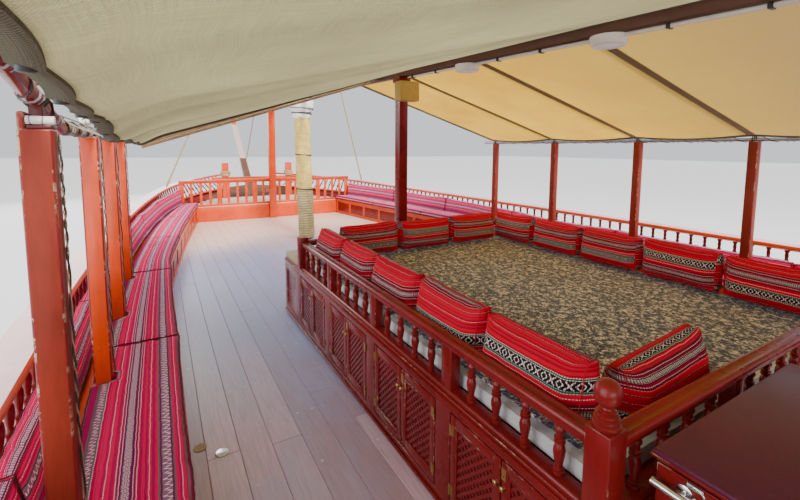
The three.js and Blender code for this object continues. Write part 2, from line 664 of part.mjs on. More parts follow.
function platformRail() {
  const { aft, half, top, rail, bay, bays } = PLATFORM;
  const foot = DECK + top + GAP + 1;
  const head = DECK + rail;
  const x0 = aft + 42;
  const x1 = bayX(bays) - 10;
  const y = half - 42;
  const pieces = [];
  const run = (ax, ay, bx, by) => {
    const [w, v] = ax === bx ? [32, 0] : [0, 32];
    pieces.push(box(Math.min(ax, bx) - w, Math.max(ax, bx) + w, Math.min(ay, by) - v, Math.max(ay, by) + v, head - 48, head));
    pieces.push(box(Math.min(ax, bx) - w, Math.max(ax, bx) + w, Math.min(ay, by) - v, Math.max(ay, by) + v, foot, foot + 22));
  };
  run(x0, y, x1, y);
  run(x0, -y, x1, -y);
  run(x0, -y, x0, y);
  run(x1, -y, x1, y);
  const profile = balusterProfile(head - 40 - foot - 14);
  const stand = (bx, by) => pieces.push(turned(profile, [bx, by, foot + 14], 5));
  for (const side of [1, -1])
    for (let i = 0; i < bays; i++) {
      const post = bayX(i);
      if (i) pieces.push(box(post - 38, post + 38, side * y - 30, side * y + 30, foot, head - 10));
      for (let k = 1; k <= 4; k++) stand(post + (bay * k) / 5 + 4, side * y);
    }
  for (const x of [x0, x1])
    for (let k = 1; k < 15; k++) if (k % 5) stand(x, -y + (2 * y * k) / 15);
    else pieces.push(box(x - 30, x + 30, -y + (2 * y * k) / 15 - 38, -y + (2 * y * k) / 15 + 38, foot, head - 10));
  const finial = [[0, 0], [34, 0], [38, 18], [30, 30], [34, 40], [22, 52], [16, 66], [34, 84], [40, 104], [34, 124], [16, 140], [0, 144]];
  for (const [nx, ny] of [[x0, y], [x0, -y], [x1, y], [x1, -y]]) {
    pieces.push(box(nx - NEWEL / 2, nx + NEWEL / 2, ny - NEWEL / 2, ny + NEWEL / 2, foot, head + 36));
    if (nx === x0) pieces.push(turned(finial, [nx, ny, head + 34], 10));
  }
  return join(pieces);
}

// The padded floor of the platform, with the rug on it
const PAD_TOP = 640;
function platformPad() {
  const { aft, half, top } = PLATFORM;
  return box(aft + 90, bayX(4) - 60, -half + 90, half - 90, DECK + top + 2, DECK + PAD_TOP);
}

function platformRug() {
  const { aft, half } = PLATFORM;
  return box(aft + 130, bayX(4) - 100, -half + 130, half - 130, DECK + PAD_TOP + 1, DECK + PAD_TOP + 11);
}

// A row of bolsters: a long soft block with a rounded top, pinched where one bolster meets the next
function bolsterRow(from, to, count, toX) {
  const rings = [];
  const low = DECK + PAD_TOP + 13;
  for (let i = 0; i <= count * 3; i++) {
    const t = i / (count * 3);
    const pinch = i % 3 ? 0 : 26;
    const section = [[8, low], [2, low + 150], [40 + pinch / 2, low + 285 - pinch], [95, low + 320 - pinch],
      [160 - pinch / 2, low + 270 - pinch], [225 - pinch, low + 120], [230 - pinch, low + 30], [205, low]];
    rings.push(section.map(([w, z]) => toX(from + (to - from) * t, w, z)));
  }
  return loft(rings);
}

const BOLSTER_IN = 138;
const bolsters = {
  port: () => bolsterRow(-4480, -1760, 5, (x, w, z) => [x, PLATFORM.half - BOLSTER_IN + 60 - w, z]),
  starboard: () => bolsterRow(-4540, -1760, 5, (x, w, z) => [x, -PLATFORM.half + BOLSTER_IN - 60 + w, z]),
  fore: () => bolsterRow(-920, 920, 3, (y, w, z) => [bayX(4) - 70 - w, y, z]),
  aft: () => bolsterRow(PLATFORM.half - 910, PLATFORM.half - 330, 1, (y, w, z) => [PLATFORM.aft + 90 + w, y, z]),
};

// The tea counter behind the platform, with a lid that lifts and a steel rail on its port side
const COUNTER = { fore: -4705, aft: -5560, port: 1090, starboard: 130, top: 770 };
function counter() {
  const { fore, aft, port, starboard, top } = COUNTER;
  const inside = box(aft + 30, fore - 30, starboard + 30, port - 30, DECK + 60, DECK + top + 10);
  const z = DECK + top - 95;
  const y = port + 52;
  return join([
    cut(box(aft, fore, starboard, port, DECK + GAP, DECK + top), [inside]),
    bar([aft + 40, y, z], [fore - 25, y, z], 13, 13, 8),
    bar([aft + 90, port - 5, z], [aft + 90, y, z], 9, 9, 6),
    bar([fore - 75, port - 5, z], [fore - 75, y, z], 9, 9, 6),
  ]);
}

function counterLid() {
  const { fore, aft, port, starboard, top } = COUNTER;
  return box(aft - 20, fore + 15, starboard - 15, port + 15, DECK + top + 1, DECK + top + 28);
}

// The helm: a stand on the quarterdeck and a spoked wheel that faces aft
const HELM = { x: -8350, z: DECK + QUARTER_RISE + 900, r: 400 };
const WHEEL_BACK = 200; // the wheel's plane behind the stand's middle
function helmStand() {
  const foot = DECK + QUARTER_RISE + GAP;
  const { x, z } = HELM;
  return loft([[foot, 190, 240], [foot + 700, 130, 190], [z + 110, 130, 190]].map(([h, a, b]) => [
    [x - a, b, h], [x + a, b, h], [x + a, -b, h], [x - a, -b, h],
  ]));
}

function helmWheel() {
  const { x, z, r } = HELM;
  const at = x - WHEEL_BACK;
  const ring = [[r - 24, -18], [r + 24, -18], [r + 24, 18], [r - 24, 18], [r - 24, -18]];
  const rim = new THREE.LatheGeometry(ring.map(([a, b]) => new THREE.Vector2(a, b)), 20).rotateZ(Math.PI / 2).translate(at, 0, z);
  const hub = bar([at - 45, 0, z], [at + 62, 0, z], 62, 62, 12);
  const spokes = Array.from({ length: 8 }, (_, k) => {
    const a = (k * Math.PI) / 4;
    const out = r + 120;
    return bar([at, 0, z], [at, Math.sin(a) * out, z + Math.cos(a) * out], 17, 14, 6);
  });
  return join([rim, hub, ...spokes]);
}

// The rudder hangs on the sternpost's line; its lugs stand between the gudgeons
const axisX = (z) => STERN_LINE(z) - RUDDER_AXIS_BACK;
function rudder() {
  const foot = KEEL_LINE - KEEL_DEPTH + 30;
  const head = DECK + 620;
  const blade = sidePlate(
    [
      [axisX(foot) - 65, foot], [axisX(head) - 65, head], [axisX(head) - 255, head],
      [axisX(DECK - 200) - 260, DECK - 200], [axisX(0) - 560, 0], [axisX(-700) - 900, -700],
      [axisX(-1200) - 960, -1200], [axisX(foot) - 880, foot],
    ],
    -38, 38,
  );
  const lugs = HINGES.map((z) => {
    const x = axisX(z + 110);
    return box(x - 90, x + 25, -24, 24, z + 84, z + 150);
  });
  return join([blade, ...lugs]);
}

const PROP_X = -9180;
function propeller() {
  const hub = bar([PROP_X - 110, 0, SHAFT_Z], [PROP_X + 120, 0, SHAFT_Z], 70, 85, 12);
  const shaft = bar([PROP_X + 100, 0, SHAFT_Z], [APERTURE.fore - 8, 0, SHAFT_Z], 40, 40, 10);
  const blades = [0, 1, 2, 3].map((k) => {
    const blade = loft([[50, 70, 16], [240, 150, 11], [400, 120, 7], [455, 55, 5]].map(([r, w, t]) => {
      const twist = 1.05 - r / 900;
      const [c, s] = [Math.cos(twist), Math.sin(twist)];
      return [[-w, -t], [w, -t], [w, t], [-w, t]].map(([a, b]) => [a * s + b * c, a * c - b * s, r]);
    }));
    return blade.rotateX((k * Math.PI) / 2).translate(PROP_X, 0, SHAFT_Z);
  });
  return join([hub, shaft, ...blades]);
}

function engine() {
  return box(ENGINE.x0, ENGINE.x1, -ENGINE.half, ENGINE.half, ENGINE.z0, ENGINE.z1);
}

// Two shrouds that lead forward to the rail, and the forestay to the stem
const SHROUD_FOOT = { x: 4450, y: 2190, z: DECK + CAP_RISE + 76 };
function shroud(side) {
  const top = mastAt(STAY_HEIGHT);
  return bar([top[0] + 20, side * 96, top[2]], [SHROUD_FOOT.x, side * SHROUD_FOOT.y, SHROUD_FOOT.z], 15, 15, 6);
}

function forestay() {
  const top = mastAt(STAY_HEIGHT + 250);
  return bar([top[0] + 96, 0, top[2]], [8060, 0, DECK + 1240], 14, 14, 6);
}

// The lateen yard beside the mast, and the sail furled along it
const yardCentre = [mastAt(YARD_HOIST)[0], YARD_Y, DECK + YARD_HOIST];
const yardPoint = (s, down = 0) => [
  yardCentre[0] + s * Math.cos(YARD_TILT) - down * Math.sin(YARD_TILT),
  YARD_Y,
  yardCentre[2] - s * Math.sin(YARD_TILT) - down * Math.cos(YARD_TILT),
];
function yard() {
  const parrel = bar([yardCentre[0], YARD_Y, yardCentre[2]], [yardCentre[0], -100, yardCentre[2]], 45, 45, 8);
  return join([
    bar(yardPoint(6000), yardPoint(-700), 62, 95, 8),
    bar(yardPoint(700), yardPoint(-6700), 95, 46, 8),
    parrel,
  ]);
}

function furledSail() {
  const stops = [[5750, 60], [5000, 105], [3500, 130], [1500, 145], [-600, 150], [-2600, 140], [-4600, 115], [-6100, 62]];
  const sides = 8;
  return loft(stops.map(([s, r]) => {
    const [cx, , cz] = yardPoint(s, 108 + r * 0.86);
    return Array.from({ length: sides }, (_, j) => {
      const a = ((j + 0.5) * 2 * Math.PI) / sides;
      const [u, v] = [Math.cos(a) * r * 0.86, Math.sin(a) * r];
      return [cx + u * Math.sin(YARD_TILT), YARD_Y + v, cz + u * Math.cos(YARD_TILT)];
    });
  }));
}

const dhow = new THREE.Group();
dhow.name = "dhow";
function add(name, geometry, finish) {
  const mesh = new THREE.Mesh(geometry, finish);
  mesh.name = name;
  dhow.add(mesh);
}

add("hull", hull(), oiledWood);
add("backbone", backbone(), oiledWood);
add("main_deck", mainDeck(), deckWood);
add("foredeck", foredeck(), deckWood);
add("quarterdeck", quarterdeck(), deckWood);
add("transom", transom(), paint);
add("fore_rail", foreRail(), paint);
add("mooring_bitts", bitts(), paint);
add("fore_post", forePost(), paint);
add("mast", mast(), oiledWood);
add("mast_padding", mastPadding(), matting);
add("mid_post", midPost(), paint);
add("aft_post", aftPost(), paint);
add("ridge_beam", ridgeBeam(), paint);
add("ridge_lights", ridgeLights(), plastic);
for (const [name, side] of [["port", 1], ["starboard", -1]]) {
  add(`bulwark_${name}`, bulwark(side), oiledWood);
  add(`cap_rail_${name}`, capRail(side), paint);
  add(`awning_posts_${name}`, awningPosts(side, POSTS[name]), paint);
  add(`awning_frame_${name}`, awningFrame(side, POSTS[name]), bareWood);
  add(`awning_${name}`, awning(side, POSTS[name]), canvas);
  add(`bench_${name}`, bench(side), paint);
  add(`seat_cushions_${name}`, seatCushions(side, POSTS[name]), redWeave);
  add(`back_cushions_${name}`, backCushions(side, POSTS[name]), redWeave);
  add(`shroud_${name}`, shroud(side), rope);
}
add("forestay", forestay(), rope);
add("platform", platform(), paint);
add("platform_rail", platformRail(), paint);
add("platform_pad", platformPad(), foam);
add("platform_rug", platformRug(), rug);
for (const [name, make] of Object.entries(bolsters)) add(`bolsters_${name}`, make(), redWeave);
for (let bay = 0; bay < PLATFORM.bays; bay++)
  for (let leaf = 0; leaf < 2; leaf++) add(`door_port_${bay + 1}${leaf ? "b" : "a"}`, doorLeaf(bay, leaf, 1), paint);
add("counter", counter(), paint);
add("counter_lid", counterLid(), paint);
add("helm_stand", helmStand(), paint);
add("helm_wheel", helmWheel(), oiledWood);
add("rudder", rudder(), oiledWood);
add("propeller", propeller(), bronze);
add("engine", engine(), iron);
add("yard", yard(), bareWood);
add("furled_sail", furledSail(), canvas);

export default dhow;
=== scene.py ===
"""A wooden dhow dressed around its frame: planking, paint, woven cushions, rug, awning and rigging."""

import math
import random

import bpy
import numpy as np
from mathutils import Matrix, Vector, noise


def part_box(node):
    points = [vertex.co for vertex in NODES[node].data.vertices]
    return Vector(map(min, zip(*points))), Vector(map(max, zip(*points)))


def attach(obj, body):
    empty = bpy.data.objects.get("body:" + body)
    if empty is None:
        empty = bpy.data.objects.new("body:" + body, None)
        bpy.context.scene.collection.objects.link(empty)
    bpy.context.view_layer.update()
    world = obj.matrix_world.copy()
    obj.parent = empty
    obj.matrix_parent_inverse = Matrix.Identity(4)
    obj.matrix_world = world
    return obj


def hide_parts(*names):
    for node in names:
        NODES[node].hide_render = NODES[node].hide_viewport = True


bl_info = {
    "name": "Dhow",
    "version": (1, 0, 0),
    "blender": (4, 5, 0),
    "location": "View3D > Sidebar > Dhow",
    "description": "Builds the looks of a wooden dhow around its frame",
    "category": "Add Mesh",
}

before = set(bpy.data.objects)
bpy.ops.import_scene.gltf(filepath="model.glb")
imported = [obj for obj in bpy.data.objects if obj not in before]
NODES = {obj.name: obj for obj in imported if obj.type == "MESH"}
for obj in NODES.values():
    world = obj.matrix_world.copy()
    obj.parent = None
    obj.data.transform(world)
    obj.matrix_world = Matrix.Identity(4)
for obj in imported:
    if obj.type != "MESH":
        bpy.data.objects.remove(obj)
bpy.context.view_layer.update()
SIDES = (("port", 1), ("starboard", -1))

# The photograph's camera, in metres and degrees
CAMERA_PLACE = (-5.30, 2.30, 2.75)
CAMERA_YAW = 30.016
CAMERA_PITCH = 5.43
CAMERA_ROLL = -0.36
CAMERA_LENS = 18.77
CAMERA_SHIFT = -0.0773

# Heights and places that repeat the frame's, in metres
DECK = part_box("main_deck")[1].z
SEAT_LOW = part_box("seat_cushions_port")[0].z
SEAT_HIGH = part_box("seat_cushions_port")[1].z
PLATFORM_LOW, PLATFORM_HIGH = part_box("platform")
RIDGE_SLOPE = 0.041
RIDGE_MID = 2.467
RIDGE_DEEP = 0.12
POST_Y = (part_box("awning_posts_port")[0].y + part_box("awning_posts_port")[1].y) / 2
EAVES = {"port": DECK + 1.70, "starboard": DECK + 1.74}
POST_SIZE = 0.078
CHEEK_THICK = 0.020
CHEEK_RISE = 0.046
PIPE_LIFT = 0.018
PIPE_RADIUS = 0.024
AFT_CLIMB = (-3.45, -4.85, 0.30)
POSTS = {
    "port": (-7.0, -5.93, -4.85, -3.75, -2.73, -1.8, -0.8),
    "starboard": (-6.9, -5.78, -4.66, -3.54, -2.43, -1.23, -0.03),
}
MAST_FOOT = 2.1
MAST_LEAN = math.tan(math.radians(5))
RAIL_RISE = 0.76
BULWARK_RISE = 0.4
BULWARK_THICK = 0.1
FOREDECK_X = 4.75
QUARTER_X = -7.5
LOWEST_PLANK = -1.5
SHARP_ANGLE = 0.6  # radians between two faces from which their edge is rounded
PLANK_EDGE = 0.0025

# Hull sections: place along the boat, half breadth at the deck, two exponents of the section's curve,
# and how far the section leans forward for each metre of height
SECTIONS = (
    (-10.5, 2.05, 1.0, 2.2, -0.35),
    (-8.9, 2.50, 1.3, 1.6, -0.22),
    (-6.8, 2.85, 1.9, 1.0, 0.0),
    (-4.3, 2.92, 2.3, 0.72, 0.0),
    (-1.8, 2.93, 2.3, 0.72, 0.0),
    (0.7, 2.80, 2.0, 0.85, 0.12),
    (2.7, 2.56, 1.7, 1.0, 0.38),
    (4.2, 2.22, 1.5, 1.1, 0.68),
    (5.3, 1.72, 1.35, 1.15, 0.95),
    (6.1, 1.12, 1.2, 1.2, 1.16),
    (6.6, 0.56, 1.1, 1.2, 1.29),
    (6.8, 0.10, 1.0, 1.0, 1.35),
)
KEEL_HALF = 0.09


def section_at(x):
    """Half breadth, the two exponents and the lean at a place along the deck, on a fair curve"""
    last = len(SECTIONS) - 1
    i = 0
    while i < last - 1 and SECTIONS[i + 1][0] <= x:
        i += 1
    a, b, c, d = (SECTIONS[min(last, max(0, n))] for n in (i - 1, i, i + 1, i + 2))
    step = c[0] - b[0]
    t = min(1, max(0, (x - b[0]) / step))
    t2, t3 = t * t, t * t * t

    def fair(k):
        slope_in = step * (c[k] - a[k]) / (c[0] - a[0])
        slope_out = step * (d[k] - b[k]) / (d[0] - b[0])
        start = (2 * t3 - 3 * t2 + 1) * b[k] + (t3 - 2 * t2 + t) * slope_in
        return start + (3 * t2 - 2 * t3) * c[k] + (t3 - t2) * slope_out

    return fair(1), fair(2), fair(3), fair(4)


def lean_to(x, z):
    """Where the section that crosses the deck at x stands at height z"""
    return x + section_at(x)[3] * (z - DECK)


def station_of(x, z):
    """The place along the deck of the section that passes through x at height z"""
    low, high = SECTIONS[0][0], SECTIONS[-1][0]
    for _ in range(18):
        middle = (low + high) / 2
        if lean_to(middle, z) < x:
            low = middle
        else:
            high = middle
    return (low + high) / 2


def half_at(x, z):
    """Half breadth of the topsides at x and height z, at or above the deck"""
    return section_at(station_of(x, z))[0]


def sheer(x):
    """How far the rails rise above their height amidships"""
    if x > 0:
        return 0.19 * (x / 8) ** 2
    if x < -6:
        return 0.42 * ((-6 - x) / 4.6) ** 2
    return 0.0


def ridge_z(x):
    return DECK + RIDGE_MID + RIDGE_SLOPE * x


def climb(name, x):
    """How far the port eaves pipe has risen at x: it climbs between two places, going aft"""
    start, end, by = AFT_CLIMB
    return by * min(1, max(0, (start - x) / (start - end))) if name == "port" else 0.0


def pipe_z(name, x):
    """Height of the eaves pipe's middle"""
    return EAVES[name] + climb(name, x) + PIPE_LIFT


def spread(start, end, count):
    """Evenly spaced values from start to end"""
    return [start + (end - start) * i / (count - 1) for i in range(count)]


def only(obj):
    """Makes this the one selected and active object"""
    bpy.ops.object.select_all(action="DESELECT")
    obj.select_set(True)
    bpy.context.view_layer.objects.active = obj
    return obj


def put_modifier(obj, kind, **settings):
    """Adds a modifier and applies it"""
    only(obj)
    modifier = obj.modifiers.new(kind.title(), kind)
    for key, value in settings.items():
        setattr(modifier, key, value)
    bpy.ops.object.modifier_apply(modifier=modifier.name)
    return obj


def bevel(obj, width, segments, edge_slot):
    return put_modifier(obj, "BEVEL", width=width, segments=segments, limit_method="ANGLE",
                        angle_limit=SHARP_ANGLE, material=edge_slot)


def ease(obj, width, segments=2):
    """Rounds the edges; the rounded faces take the second material, if there is one"""
    edge_slot = 1 if len(obj.data.materials) > 1 else -1
    return smooth(bevel(obj, width, segments, edge_slot))


def smooth(obj, degrees=35):
    only(obj)
    bpy.ops.object.shade_smooth_by_angle(angle=math.radians(degrees))
    return obj


def face_out(obj):
    """Merges doubles and turns every face outwards"""
    only(obj)
    bpy.ops.object.mode_set(mode="EDIT")
    bpy.ops.mesh.select_all(action="SELECT")
    bpy.ops.mesh.remove_doubles(threshold=0.00005)
    bpy.ops.mesh.normals_make_consistent(inside=False)
    bpy.ops.object.mode_set(mode="OBJECT")
    return obj


def timbers(boxes):
    """One mesh of squared timbers, each from its low corner to its high one"""
    bpy.ops.object.select_all(action="DESELECT")
    bpy.ops.mesh.primitive_cube_add(size=1)
    obj = bpy.context.object
    bpy.ops.object.mode_set(mode="EDIT")
    bpy.ops.mesh.select_all(action="SELECT")
    bpy.ops.mesh.delete(type="VERT")
    for low, high in boxes:
        low, high = Vector(low), Vector(high)
        bpy.ops.mesh.primitive_cube_add(size=1, location=(low + high) / 2, scale=high - low)
    bpy.ops.object.mode_set(mode="OBJECT")
    return obj


def block(x0, x1, y0, y1, z0, z1):
    """The two corners of one timber"""
    return (x0, min(y0, y1), z0), (x1, max(y0, y1), z1)


def upright(x, y, half_x, half_y, low, high):
    """The two corners of a squared post that stands at x and y"""
    return block(x - half_x, x + half_x, y - half_y, y + half_y, low, high)


def turn(profile, sides=14):
    """A turned piece on the Z axis: a disc extruded and scaled through pairs of radius and height"""
    bpy.ops.object.select_all(action="DESELECT")
    radius, foot = profile[0]
    bpy.ops.mesh.primitive_circle_add(
        vertices=sides, radius=radius, fill_type="NGON", location=(0, 0, foot)
    )
    obj = bpy.context.object
    bpy.ops.object.transform_apply(location=True, rotation=False, scale=False)
    bpy.ops.object.mode_set(mode="EDIT")
    bpy.ops.mesh.select_all(action="SELECT")
    for (r0, z0), (r1, z1) in zip(profile, profile[1:]):
        bpy.ops.mesh.extrude_region_move(TRANSFORM_OT_translate={"value": (0, 0, z1 - z0)})
        bpy.ops.transform.resize(value=(r1 / r0, r1 / r0, 1), center_override=(0, 0, z1))
    bpy.ops.object.mode_set(mode="OBJECT")
    return smooth(face_out(obj), 50)


def moved(obj, matrix):
    """Moves a piece's points and leaves its object at the origin"""
    obj.data.transform(matrix)
    return obj


def at(x, y, z):
    return Matrix.Translation((x, y, z))


TO_PORT = Matrix.Rotation(-math.pi / 2, 4, "X")  # lays a turned piece's axis over to port
TO_FORE = Matrix.Rotation(math.pi / 2, 4, "Y")  # or forward


def circle(centre, across, up, count):
    """Points round a circle or an ellipse, from its middle and two half axes"""
    centre, across, up = Vector(centre), Vector(across), Vector(up)
    return [tuple(centre + math.cos(a) * across + math.sin(a) * up) for a in spread(0, math.tau, count)]


def join(objects):
    """Joins objects into the first one"""
    bpy.ops.object.select_all(action="DESELECT")
    for obj in objects:
        obj.select_set(True)
    bpy.context.view_layer.objects.active = objects[0]
    if len(objects) > 1:
        bpy.ops.object.join()
    return objects[0]


def copies(pattern, places):
    """Copies a modelled piece to each matrix or point, as one mesh, and drops the pattern"""
    made = []
    for place in places:
        matrix = place if isinstance(place, Matrix) else Matrix.Translation(place)
        obj = bpy.data.objects.new(pattern.name, pattern.data.copy())
        bpy.context.scene.collection.objects.link(obj)
        obj.data.transform(matrix)
        made.append(obj)
    bpy.data.objects.remove(pattern)
    return join(made)


def mesh_piece(name, points, faces):
    """A mesh from its points and faces"""
    mesh = bpy.data.meshes.new(name)
    mesh.from_pydata([tuple(p) for p in points], [], faces)
    obj = bpy.data.objects.new(name, mesh)
    bpy.context.scene.collection.objects.link(obj)
    return obj


def loft(name, rings, closed=True, capped=True):
    """A skin through rings of equal length, with a map in metres along and around it"""
    n = len(rings[0])
    around = n if closed else n - 1
    faces = []
    for i in range(len(rings) - 1):
        for j in range(around):
            k = (j + 1) % n
            faces.append((i * n + j, i * n + k, (i + 1) * n + k, (i + 1) * n + j))
    if closed and capped:
        faces.append(tuple(range(n)))
        faces.append(tuple((len(rings) - 1) * n + j for j in reversed(range(n))))
    obj = mesh_piece(name, [p for ring in rings for p in ring], faces)
    along = [0.0]
    for a, b in zip(rings, rings[1:]):
        along.append(along[-1] + max((Vector(q) - Vector(p)).length for p, q in zip(a, b)))
    widest = max(rings, key=lambda r: sum((Vector(r[j]) - Vector(r[j - 1])).length for j in range(1, n)))
    girth = [0.0]
    for j in range(n):
        girth.append(girth[-1] + (Vector(widest[(j + 1) % n]) - Vector(widest[j])).length)
    layer = obj.data.uv_layers.new(name="cloth")
    loop = 0
    for i in range(len(rings) - 1):
        for j in range(around):
            for a, b in ((i, j), (i, j + 1), (i + 1, j + 1), (i + 1, j)):
                layer.data[loop].uv = (along[a], girth[b])
                loop += 1
    if closed:
        face_out(obj)
    return obj


def tube(name, points, radius, sides=8, smooth_path=False):
    """A round bar, pipe or taut line along points"""
    curve = bpy.data.curves.new(name, "CURVE")
    curve.dimensions = "3D"
    curve.bevel_depth = radius
    curve.bevel_resolution = max(0, sides // 2 - 2)
    curve.use_fill_caps = True
    spline = curve.splines.new("NURBS" if smooth_path else "POLY")
    spline.points.add(len(points) - 1)
    for point, place in zip(spline.points, points):
        point.co = (*place, 1)
    if smooth_path:
        spline.use_endpoint_u = True
        spline.order_u = 3
        spline.resolution_u = 6
    obj = bpy.data.objects.new(name, curve)
    bpy.context.scene.collection.objects.link(obj)
    only(obj)
    bpy.ops.object.convert(target="MESH")
    return smooth(face_out(bpy.context.object), 50)


def from_node(node, width=0.006, segments=2, materials=()):
    """A copy of a frame piece with its flats made whole and its edges rounded"""
    obj = bpy.data.objects.new(node, NODES[node].data.copy())
    bpy.context.scene.collection.objects.link(obj)
    obj.data.materials.clear()
    for material in materials:
        obj.data.materials.append(material)
    only(obj)
    bpy.ops.object.mode_set(mode="EDIT")
    bpy.ops.mesh.select_all(action="SELECT")
    bpy.ops.mesh.remove_doubles(threshold=0.0002)
    bpy.ops.mesh.dissolve_limited(angle_limit=0.02)
    bpy.ops.object.mode_set(mode="OBJECT")
    return ease(obj, width, segments)


def paint_over(obj, *materials):
    obj.data.materials.clear()
    for material in materials:
        obj.data.materials.append(material)
    return obj


def painted(obj):
    """Gloss paint, rubbed at the edges once they are rounded"""
    return paint_over(obj, paint(), paint_edge())


def painted_sunlit(obj):
    """The outer rails' paint, an orange copy of the red-brown paint that holds painted sunlight, rubbed at
    the edges once they are rounded
    """
    return paint_over(obj, sunlit_paint(), sunlit_paint_edge())


def settle(obj, name, slot, *nodes, body="boat"):
    """Names a finished piece, fixes it to its body and hides the frame pieces that it stands for"""
    obj.name = name
    obj.data.name = name
    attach(obj, body)
    if nodes:
        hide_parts(*nodes)
    return obj


class Nodes:
    """A material's nodes as calls: each call adds a node and gives its output"""

    def __init__(self, name):
        self.material = bpy.data.materials.new(name)
        self.material.use_nodes = True
        self.tree = self.material.node_tree
        self.shader = self.tree.nodes["Principled BSDF"]

    def feed(self, socket, value):
        if isinstance(value, bpy.types.NodeSocket):
            self.tree.links.new(value, socket)
        else:
            socket.default_value = value

    def put(self, kind, values=None, output=0, **settings):
        node = self.tree.nodes.new(kind)
        for key, value in settings.items():
            setattr(node, key, value)
        for key, value in (values or {}).items():
            self.feed(node.inputs[key], value)
        return node.outputs[output]

    def math(self, operation, a, b=0.0):
        return self.put("ShaderNodeMath", {0: a, 1: b}, operation=operation)

    def plus(self, a, b):
        return self.math("ADD", a, b)

    def less(self, a, b):
        return self.math("SUBTRACT", a, b)

    def times(self, a, b):
        return self.math("MULTIPLY", a, b)

    def over(self, a, b):
        return self.math("DIVIDE", a, b)

    def absolute(self, a):
        return self.math("ABSOLUTE", a)

    def fract(self, a):
        return self.math("FRACT", a)

    def place(self):
        return self.put("ShaderNodeTexCoord", output=3)

    def cloth(self):
        return self.put("ShaderNodeUVMap", uv_map="cloth")

    def parts(self, vector):
        node = self.tree.nodes.new("ShaderNodeSeparateXYZ")
        self.tree.links.new(vector, node.inputs[0])
        return node.outputs

    def scaled(self, vector, x, y, z):
        return self.put("ShaderNodeMapping", {"Vector": vector, "Scale": (x, y, z)})

    def noise(self, vector, scale, detail=3.0, roughness=0.5, distortion=0.0):
        values = {"Vector": vector, "Scale": scale, "Detail": detail, "Roughness": roughness}
        values["Distortion"] = distortion
        return self.put("ShaderNodeTexNoise", values)

    def ramp(self, value, stops, constant=False):
        node = self.tree.nodes.new("ShaderNodeValToRGB")
        self.feed(node.inputs[0], value)
        band = node.color_ramp
        band.interpolation = "CONSTANT" if constant else "LINEAR"
        while len(band.elements) < len(stops):
            band.elements.new(0.5)
        for element, (position, shade) in zip(band.elements, stops):
            element.position = position
            element.color = shade if len(shade) == 4 else (*shade, 1)
        return node.outputs[0]

    def step(self, value, low, high):
        """0 below low and 1 above high"""
        values = {"Value": value, "From Min": low, "From Max": high}
        return self.put("ShaderNodeMapRange", values, clamp=True)

    def mix(self, share, a, b, blend="MIX"):
        node = self.tree.nodes.new("ShaderNodeMix")
        node.data_type = "RGBA"
        node.blend_type = blend
        for socket, value in ((node.inputs[0], share), (node.inputs[6], a), (node.inputs[7], b)):
            plain = isinstance(value, (int, float, bpy.types.NodeSocket))
            self.feed(socket, value if plain or len(value) == 4 else (*value, 1))
        return node.outputs[2]

    def bump(self, height, depth, under=None):
        values = {"Height": height, "Distance": depth, "Strength": 1.0}
        if under is not None:
            values["Normal"] = under
        return self.put("ShaderNodeBump", values)

    def done(self, base, roughness, normal=None, **numbers):
        """Feeds the shader and gives the material"""
        sockets = self.shader.inputs
        self.feed(sockets["Base Color"], base if isinstance(base, bpy.types.NodeSocket) else (*base, 1))
        self.feed(sockets["Roughness"], roughness)
        if normal is not None:
            self.feed(sockets["Normal"], normal)
        for key, value in numbers.items():
            sockets[key.replace("_", " ").title().replace("Ior", "IOR")].default_value = value
        return self.material


def shade(colour, factor):
    return tuple(min(1, max(0, c * factor)) for c in colour[:3])


def tint(label, words, default):
    return bpy.props.FloatVectorProperty(
        name=label, description=words, subtype="COLOR", size=3, min=0, max=1, default=default
    )


def length(label, words, default):
    return bpy.props.FloatProperty(
        name=label, description=words, unit="LENGTH", subtype="DISTANCE", min=0.001, default=default
    )


class DhowColours(bpy.types.PropertyGroup):
    """Colours of the boat's finishes"""

    paint: tint("Paint", "Gloss paint of rails, posts and panels", (0.20, 0.010, 0.010))
    # The outer paint is the red-brown paint as it looks in sunlight: painted sunlight
    paint_sunlit: tint("Outer paint", "Paint of the sunlit rails and the bow", (0.64, 0.055, 0.003))
    # The deck's mauve is partly the planks' stain and partly painted sky reflection
    deck: tint("Deck", "Worn stain of the deck planks", (0.62, 0.41, 0.47))
    oil: tint("Oiled planking", "Hull planking above the water", (0.135, 0.052, 0.022))
    lime: tint("Bottom", "Lime and tallow below the water", (0.62, 0.58, 0.50))
    pole: tint("Bare poles", "Weathered poles and yard", (0.30, 0.19, 0.10))
    awning: tint("Awning", "Open-weave shade cloth to port", (0.72, 0.69, 0.50))
    # The starboard cloth's warm orange is the cloth with the sun through it: painted sunlight
    awning_sunlit: tint("Warm awning", "Shade cloth to starboard", (1.0, 0.72, 0.24))
    hem: tint("Awning hem", "Binding and bands of the cloth", (0.19, 0.185, 0.12))
    red: tint("Weave red", "Ground of the cushion weave", (0.66, 0.003, 0.030))
    crimson: tint("Weave crimson", "Darker red bands", (0.27, 0.003, 0.028))
    green: tint("Weave green", "Narrow green bands", (0.012, 0.17, 0.08))
    black: tint("Weave black", "Ground of the figured bands", (0.012, 0.011, 0.013))
    white: tint("Weave white", "Figures and dotted lines", (0.78, 0.76, 0.72))
    grey: tint("Weave grey", "Ground of the seats' figured bands", (0.13, 0.155, 0.20))
    rug_ground: tint("Rug ground", "Dark pile of the rug", (0.014, 0.028, 0.060))
    rug_leaf: tint("Rug leaves", "Pale leaves of the rug", (0.92, 0.78, 0.62))
    matting: tint("Matting", "Woven palm matting on the mast", (0.95, 0.60, 0.15))
    rope: tint("Rope", "Laid rope", (0.52, 0.38, 0.20))


